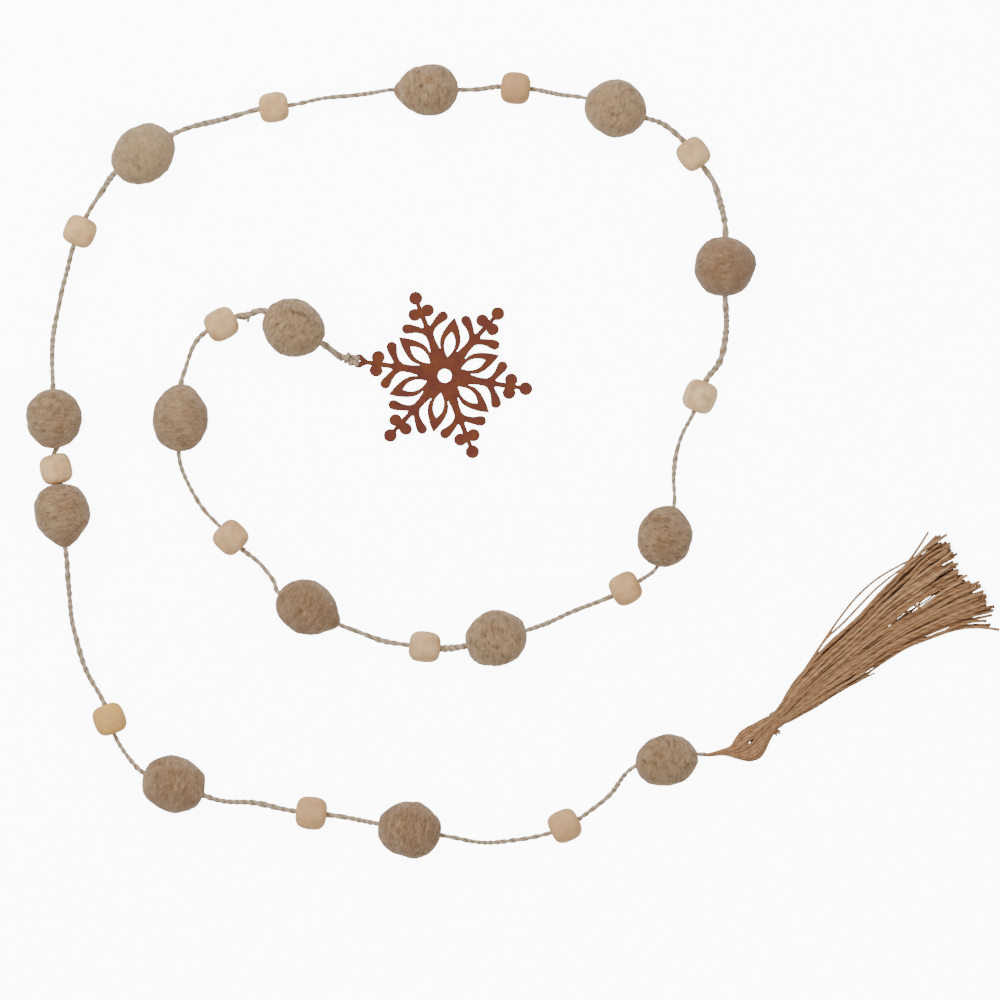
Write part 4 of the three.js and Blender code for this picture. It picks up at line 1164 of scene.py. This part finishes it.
def wraps(centre, axis, radius, pitch, turns, name, start=0.0, taper=1.0):
    """A coil: centre + axis (v - 1/2) turns pitch + radius (side cos + rise sin) of the angle
    2 pi turns v + start, at v from 0 to 1. The radius shrinks to its share taper, unevenly."""
    v = np.linspace(0, 1, int(turns * 18))
    side = beside(axis)
    rise = np.cross(axis, side)
    angle = (2 * math.pi * turns * v + start)[:, None]
    reach = radius * ((1 + (taper - 1) * v) * (1 + 0.06 * wander(v, name, 0.4)[0]))[:, None]
    return centre + axis * ((v - 0.5) * turns * pitch)[:, None] + reach * (
        side * np.cos(angle) + rise * np.sin(angle)
    )


class GARLAND_OT_knots(Operator):
    """Ties the twine to the snowflake, and the small knot between the first ball and bead"""

    bl_idname = "garland.knots"
    bl_label = "Knots"

    def execute(self, context):
        sizes, colours = context.scene.garland_sizes, context.scene.garland_colours
        material = jute_material("twine", colours)
        thick = sizes.twine_width / 2
        skin = Skin("snowflake_tie")
        # Two strands of the loop. The spots are outwards from the disc, a share of the strand's
        # lane sideways, the height, and the thickness there.
        disc = (TIP_LIFT + 0.6) * MM
        for lane in (-0.0013, 0.0013):
            over = disc + 0.0012
            spots = (
                (0.0062, 0.6, disc + 0.0010, 1.4), (0.0044, 1, over + 0.0002, 1.5),
                (0.0028, 1, over, 1.5), (0.0016, 0.9, over - 0.0004, 1.4),
                (0.0010, 0.5, disc, 0.7), (0.0011, 0.4, disc - 0.0010, 0.4),
                (0.0022, 0.8, 0.0011, 0.7), (0.0044, 1, 0.0012, 0.9),
                (0.0066, 0.5, 0.0020, 1.0),
            )
            loop = smooth_line([beside_disc(s[0], lane * s[1], s[2]) for s in spots], 10)
            squeezed = np.interp(np.linspace(0, len(spots) - 1, len(loop)), range(len(spots)),
                                 [s[3] for s in spots])
            self.twisted(skin, loop, thick * squeezed, heading_vector(FLAKE_HEADING + 90))
        core = np.linspace(KNOT_CENTRE - KNOT_AXIS * 0.003, KNOT_CENTRE + KNOT_AXIS * 0.005, 14)
        self.twisted(skin, core, thick * 1.4)
        coil = wraps(KNOT_CENTRE, KNOT_AXIS, 1.75 * MM, 2.7 * MM, 2.9, "coil", 0.9, 0.55)
        coil[:, 2] = np.maximum(coil[:, 2], thick * 1.1)
        self.twisted(skin, coil, thick * 1.2, KNOT_AXIS)
        across = beside(KNOT_AXIS)
        tail = smooth_line([
            KNOT_CENTRE + KNOT_AXIS * 0.0002 + UP * 0.0018,
            KNOT_CENTRE + KNOT_AXIS * 0.0010 + UP * 0.0022 - across * 0.0018,
            KNOT_CENTRE + KNOT_AXIS * 0.0010 + UP * 0.0018 - across * 0.0034,
        ], 8)
        self.tail(skin, tail, thick * 1.1, "tail", 0.0008)
        skin.make(material, "snowflake_knot", slot="jute_twine")

        skin = Skin("stop_knot_wraps")
        points, slopes, _ = twine_route()
        gaps = np.linalg.norm(points[:, :2] - (np.array(STOP_KNOT) - PLAN_MIDDLE), axis=1)
        at, along = points[gaps.argmin()], slopes[gaps.argmin()]
        aside = beside(along)
        coil = wraps(at, along, 1.0 * MM, 1.6 * MM, 1.4, "stop")
        self.twisted(skin, coil, thick * 0.8, along)
        second = smooth_line([
            at - along * 0.0010 + aside * 0.0012,
            at + along * 0.0040 + aside * 0.0013 - UP * 0.0004,
            mouth(PIECES[1], -1) + aside * 0.0008 - UP * 0.0003,
            mouth(PIECES[1], -1) + heading_vector(PIECES[1].heading) * 0.0016,
        ], 8)
        self.twisted(skin, second, thick * 0.8)
        tail = smooth_line([
            at - along * 0.0005 + aside * 0.0010,
            at + along * 0.0002 + aside * 0.0022 - UP * 0.0006,
            at + along * 0.0008 + aside * 0.0031 - UP * 0.0012,
        ], 8)
        self.tail(skin, tail, thick * 0.8, "stop_tail", 0.0007)
        skin.make(material, "stop_knot", slot="jute_twine")
        return {"FINISHED"}

    def twisted(self, skin, path, radius, up=(0.05, 0.03, 1)):
        """Two-ply twine along a path."""
        length = distances(path)
        spin = 2 * math.pi * length[None] / 0.007
        uneven = radius * (1 + 0.06 * wander(length, "knot_twine", 0.006))
        add_tubes(skin, path[None], uneven, 12, up=up, spin=spin, groove=0.3, tone=0.45)

    def tail(self, skin, path, radius, name, length, count=14):
        """A cut end of twine along a path, with a small brush of fibres at its tip."""
        self.twisted(skin, path, radius)
        random = random_for(name)
        roots = path[-1] + 0.0004 * random.normal(size=(count, 3))
        roots[:, 2] = np.maximum(roots[:, 2], 0.0003)
        flow = np.broadcast_to(unit(path[-1] - path[-3]), roots.shape)
        normals = unit(random.normal(size=roots.shape) + UP / 2)
        add_hairs(skin, roots, normals, flow, name, length, 0.00007)


class GARLAND_OT_tassel(Operator):
    """Lays the tassel's yarns from the twine round the eye, through the neck and to the tips"""

    bl_idname = "garland.tassel"
    bl_label = "Tassel"

    def execute(self, context):
        colours = context.scene.garland_colours
        material = jute_material("yarn", colours)
        random = random_for("tassel")
        shares = np.array([lock.share for lock in LOCKS])
        lock_of = np.repeat(np.arange(len(LOCKS)), shares)
        locks = np.array(LOCKS)[lock_of]
        count = len(locks)
        within = np.concatenate([np.linspace(-1, 1, n) for n in shares])
        layer = np.concatenate([random.permutation(n) / (n - 1) for n in shares])
        lift = np.clip(layer + random.uniform(-0.12, 0.12, count), 0, 1)
        spread = np.repeat(1.35 * np.gradient([lock.root for lock in LOCKS]) / 2, shares)
        root = locks[:, 0] + within * spread
        tip = locks[:, 1] + within * locks[:, 2] * 1.3
        end = locks[:, 4] + random.normal(size=count) * 0.0014
        paths, radius = self.paths(root, tip, locks[:, 3], end, lift)
        # The tone is partly each yarn's own random colour and partly painted shade: through 0.45
        # of its lift, yarns lower in the tassel are darker.
        tone = np.clip(0.26 + 0.45 * lift + 0.26 * random.normal(size=count), 0, 1)
        rows = paths.shape[1]
        spin = 2 * math.pi * np.linspace(0, 16, rows)[None] + random.uniform(0, 6, (count, 1))
        skin = Skin("tassel_yarns")
        add_tubes(skin, to_garland(paths), radius, 6, spin=spin, groove=0.12, tone=tone)
        skin.make(material, "tassel", slot="jute_yarn")

        loose = Skin("tassel_loose_ends")
        self.add_frays(loose, paths, random)
        self.add_strays(loose)
        loose.make(material, slot="jute_yarn")

        tie = Skin("tassel_tie_yarn")
        self.add_tie(tie)
        tie.make(material, "tassel_tie", slot="jute_yarn")
        return {"FINISHED"}

    def form(self, along):
        """The tassel's form at any station, smooth between the rows of TASSEL_FORM."""
        rows = np.array(TASSEL_FORM)
        fine = smooth_line(rows, 12)
        return Form(along, *(np.interp(along, fine[:, 0], fine[:, i]) for i in range(1, 5)))

    def paths(self, root, tip, bend, end, lift):
        """Middle lines and radii of the yarns in the tassel's frame. Across the axis a yarn is
        at middle + half f, where f goes from its place at the neck to its place at the tips,
        bends out over its last 20 mm and parts round the eye and the slit in the skirt. Its
        height is base + height g, with f and g drawn from a square onto a disc at the neck and
        less so towards the tips."""
        count = len(root)
        u = np.linspace(0, 1, 84)[None]
        start = TASSEL_FORM[0].along
        along = start + (end[:, None] - start) * u
        form = self.form(along)
        out = np.clip(along / 0.1, 0, 1) ** 0.8
        late = np.clip((along - 0.095) / 0.021, 0, 1.2) ** 2
        f = root[:, None] + (tip - root)[:, None] * out + bend[:, None] * late
        f = f + 0.035 * wander(along, "yarn_drift", 0.07, count) * np.clip(along / 0.05, 0, 1)
        g = lift[:, None] * 2 - 1
        g = g + 0.22 * wander(along, "yarn_lift", 0.05, count) * np.clip(along / 0.03, 0.1, 1)
        g = np.clip(g, -1, 1)
        round_off = 0.5 - 0.32 * np.clip(along / 0.06, 0, 1)
        across = f * np.sqrt(1 - round_off * g**2)
        height = g * np.sqrt(1 - round_off * np.clip(f, -1, 1) ** 2)
        area = 4 * form.half * form.height / 2 * 0.8
        fill = 1.12 + 0.4 * np.clip(-along / 0.006, 0, 1)
        radius = np.minimum(fill * np.sqrt(area / count / math.pi), 0.78 * MM)
        radius = radius * (1 + 0.1 * wander(along, "yarn_thick", 0.012, count))
        side = form.middle + (form.half - radius) * across
        side = self.parted(side, along, *TASSEL_EYE)
        side = self.parted(side, along, *SKIRT_SLIT)
        rise = form.base + radius + (form.height - 2 * radius) * (height + 1) / 2
        rise = np.maximum(rise, radius)
        return np.stack([along, side, rise], axis=-1), radius

    def parted(self, side, along, station, place, length, width):
        """Yarns parted round an opening: one at the distance d from its middle line moves to
        sqrt(d^2 + (w e)^2), where e = exp(-((along - station) / length)^2)."""
        gap = side - place
        near = np.exp(-(((along - station) / length) ** 2))
        return place + np.sign(gap) * np.sqrt(gap**2 + (width * near) ** 2)

    def add_frays(self, skin, paths, random):
        """A few short fibres at the cut end of each yarn."""
        each = 4
        ends = np.repeat(paths[:, -1], each, axis=0)
        flow = np.repeat(unit(paths[:, -1] - paths[:, -3]), each, axis=0)
        roots = ends - flow * 0.0008 + 0.0003 * random.normal(size=ends.shape)
        roots[:, 2] = np.maximum(roots[:, 2], 0.0002)
        normals = np.broadcast_to(UP, roots.shape)
        inner = Skin("inner")
        add_hairs(inner, roots, normals, flow * 1.6, "fray", 0.0024, 0.00009)
        inner.points = [to_garland(points) for points in inner.points]
        skin.add(inner.points[0], inner.faces, [m.reshape(-1, f.shape[1], 2) for m, f in
                                               zip(inner.maps, inner.faces)],
                 tone=inner.values["tone"][0], ply=inner.values["ply"][0])

    def add_strays(self, skin):
        """Two bowed threads and two loose ends at the far edge, one at the short lock and two
        threads over the slit. Each is a radius, and points along the axis, sideways and up in
        millimetres."""
        strays = (
            (0.0007, [(12, 6, 6), (30, 13.4, 5.2), (44.3, 19.1, 4.4), (55.6, 23.3, 3.6),
                      (69.1, 27.2, 2.6), (81.9, 28.6, 1.8), (95.7, 27.6, 2.4), (104, 26.6, 3.4)]),
            (0.0007, [(12, 5, 6), (30, 12.8, 5.6), (44.3, 18.6, 4.8), (52.8, 19.7, 4.2),
                      (67.1, 22.6, 3), (77, 24.6, 2), (86.9, 25.6, 2.4), (98, 26, 3.4)]),
            (0.0006, [(36, -6.4, 4), (44, -7.8, 4), (50, -8.9, 3.4), (54, -9.6, 2.6)]),
            (0.0008, [(84, 22.4, 4), (98, 26.4, 3.8), (108, 30, 3), (116, 33.4, 2)]),
            (0.0008, [(96, 25, 4), (106, 27, 4), (113, 28.6, 3), (118.4, 29.6, 2)]),
            (0.0005, [(70, 4.9, 5), (84, 6.2, 4), (94, 5.6, 3), (106, 6.4, 3)]),
            (0.0005, [(72, 6.6, 5), (86, 5.4, 3), (96, 7.0, 4), (104, 5.6, 3)]),
        )
        for number, (radius, rows) in enumerate(strays):
            path = to_garland(smooth_line(np.array(rows) * MM, 14))
            taper = np.linspace(1, 0.75, len(path))
            add_tubes(skin, path[None], (radius * taper)[None], 6, tone=0.25 + 0.1 * number)

    def add_tie(self, skin):
        """Thin yarn wound round the neck, a knot on the near side and two ends."""
        form = self.form(np.array([0.0]))
        half, height = form.half[0] + 0.0001, form.height[0] / 2 + 0.0001
        centre = form.base[0] + form.height[0] / 2
        v, turns = np.linspace(0, 1, 110), 4
        angle = 2 * math.pi * turns * v - math.pi / 2
        along = (v - 0.5) * 0.0028
        side = form.middle[0] + half * np.sign(np.cos(angle)) * np.abs(np.cos(angle)) ** 0.8
        rise = centre + height * np.sign(np.sin(angle)) * np.abs(np.sin(angle)) ** 0.8
        coil = to_garland(np.column_stack([along, side, rise]))
        neck = heading_vector(TASSEL_HEADING)
        add_tubes(skin, coil[None], 0.0003, 8, up=neck, tone=0.5)
        place = to_garland(TIE_KNOT)
        knot = wraps(place, unit(neck + np.array([0.1, 0.3, 0.2])), 0.0011, 0.0010, 2.6, "nub")
        add_tubes(skin, knot[None], 0.0007, 8, up=neck, tone=0.05)
        for number, rows in enumerate((
            [(-3.6, -5.6, 2.6), (-3.0, -7.0, 2.4), (-2.2, -8.0, 1.6)],
            [(-3.4, -5.6, 2.4), (-4.2, -6.8, 2.0), (-4.4, -7.8, 1.2)],
        )):
            path = to_garland(smooth_line(np.array(rows) * MM, 8))
            add_tubes(skin, path[None], 0.0004, 6, tone=0.1 + 0.1 * number)


class GARLAND_OT_twine_fibres(Operator):
    """Adds the loose fibres that stand off the twine"""

    bl_idname = "garland.twine_fibres"
    bl_label = "Twine fibres"

    def execute(self, context):
        random = random_for("twine_fibres")
        line, _, thick = twine_line()
        tangent = unit(np.gradient(line, axis=0))
        centres = np.array([centre_of(piece) for piece in PIECES])
        reach = np.array([max(p.length / 2 + p.tip_out, p.width / 2) for p in PIECES])
        inside = (np.linalg.norm(line[:, None] - centres, axis=2) < reach).any(1)
        visible = np.flatnonzero(~inside)
        pick = random.choice(visible, TWINE_FIBRES)
        normals = unit(np.cross(tangent[pick], random.normal(size=(len(pick), 3))))
        roots = line[pick] + normals * 0.38 * thick[pick][:, None]
        roots[:, 2] = np.maximum(roots[:, 2], 0.0002)
        skin = Skin("twine_fibres")
        add_hairs(skin, roots, normals, tangent[pick], "twine_hair", 0.0024, 0.000045)
        skin.make(jute_material("twine", context.scene.garland_colours), slot="jute_twine")
        return {"FINISHED"}


class GARLAND_PT_panel(Panel):
    """Lists the garland's sizes, colours and pieces"""

    bl_idname = "GARLAND_PT_panel"
    bl_label = "Garland"
    bl_space_type = "VIEW_3D"
    bl_region_type = "UI"
    bl_category = "Garland"

    def draw(self, context):
        for group in (context.scene.garland_sizes, context.scene.garland_colours):
            column = self.layout.column(align=True)
            for name in group.__annotations__:
                column.prop(group, name)
        for operator in OPERATORS:
            self.layout.operator(operator.bl_idname)


OPERATORS = (
    GARLAND_OT_stage,
    GARLAND_OT_twine,
    GARLAND_OT_felt_balls,
    GARLAND_OT_wood_beads,
    GARLAND_OT_snowflake,
    GARLAND_OT_knots,
    GARLAND_OT_tassel,
    GARLAND_OT_twine_fibres,
)
CLASSES = (GarlandColours, GarlandSizes, *OPERATORS, GARLAND_PT_panel)


def register():
    for cls in CLASSES:
        bpy.utils.register_class(cls)
    bpy.types.Scene.garland_colours = PointerProperty(type=GarlandColours)
    bpy.types.Scene.garland_sizes = PointerProperty(type=GarlandSizes)


def unregister():
    del bpy.types.Scene.garland_sizes
    del bpy.types.Scene.garland_colours
    for cls in reversed(CLASSES):
        bpy.utils.unregister_class(cls)


def main():
    """Makes every piece in order."""
    register()
    bpy.ops.garland.stage()
    bpy.ops.garland.twine()
    bpy.ops.garland.felt_balls()
    bpy.ops.garland.wood_beads()
    bpy.ops.garland.snowflake()
    bpy.ops.garland.knots()
    bpy.ops.garland.tassel()
    bpy.ops.garland.twine_fibres()


if __name__ == "__main__":
    main()
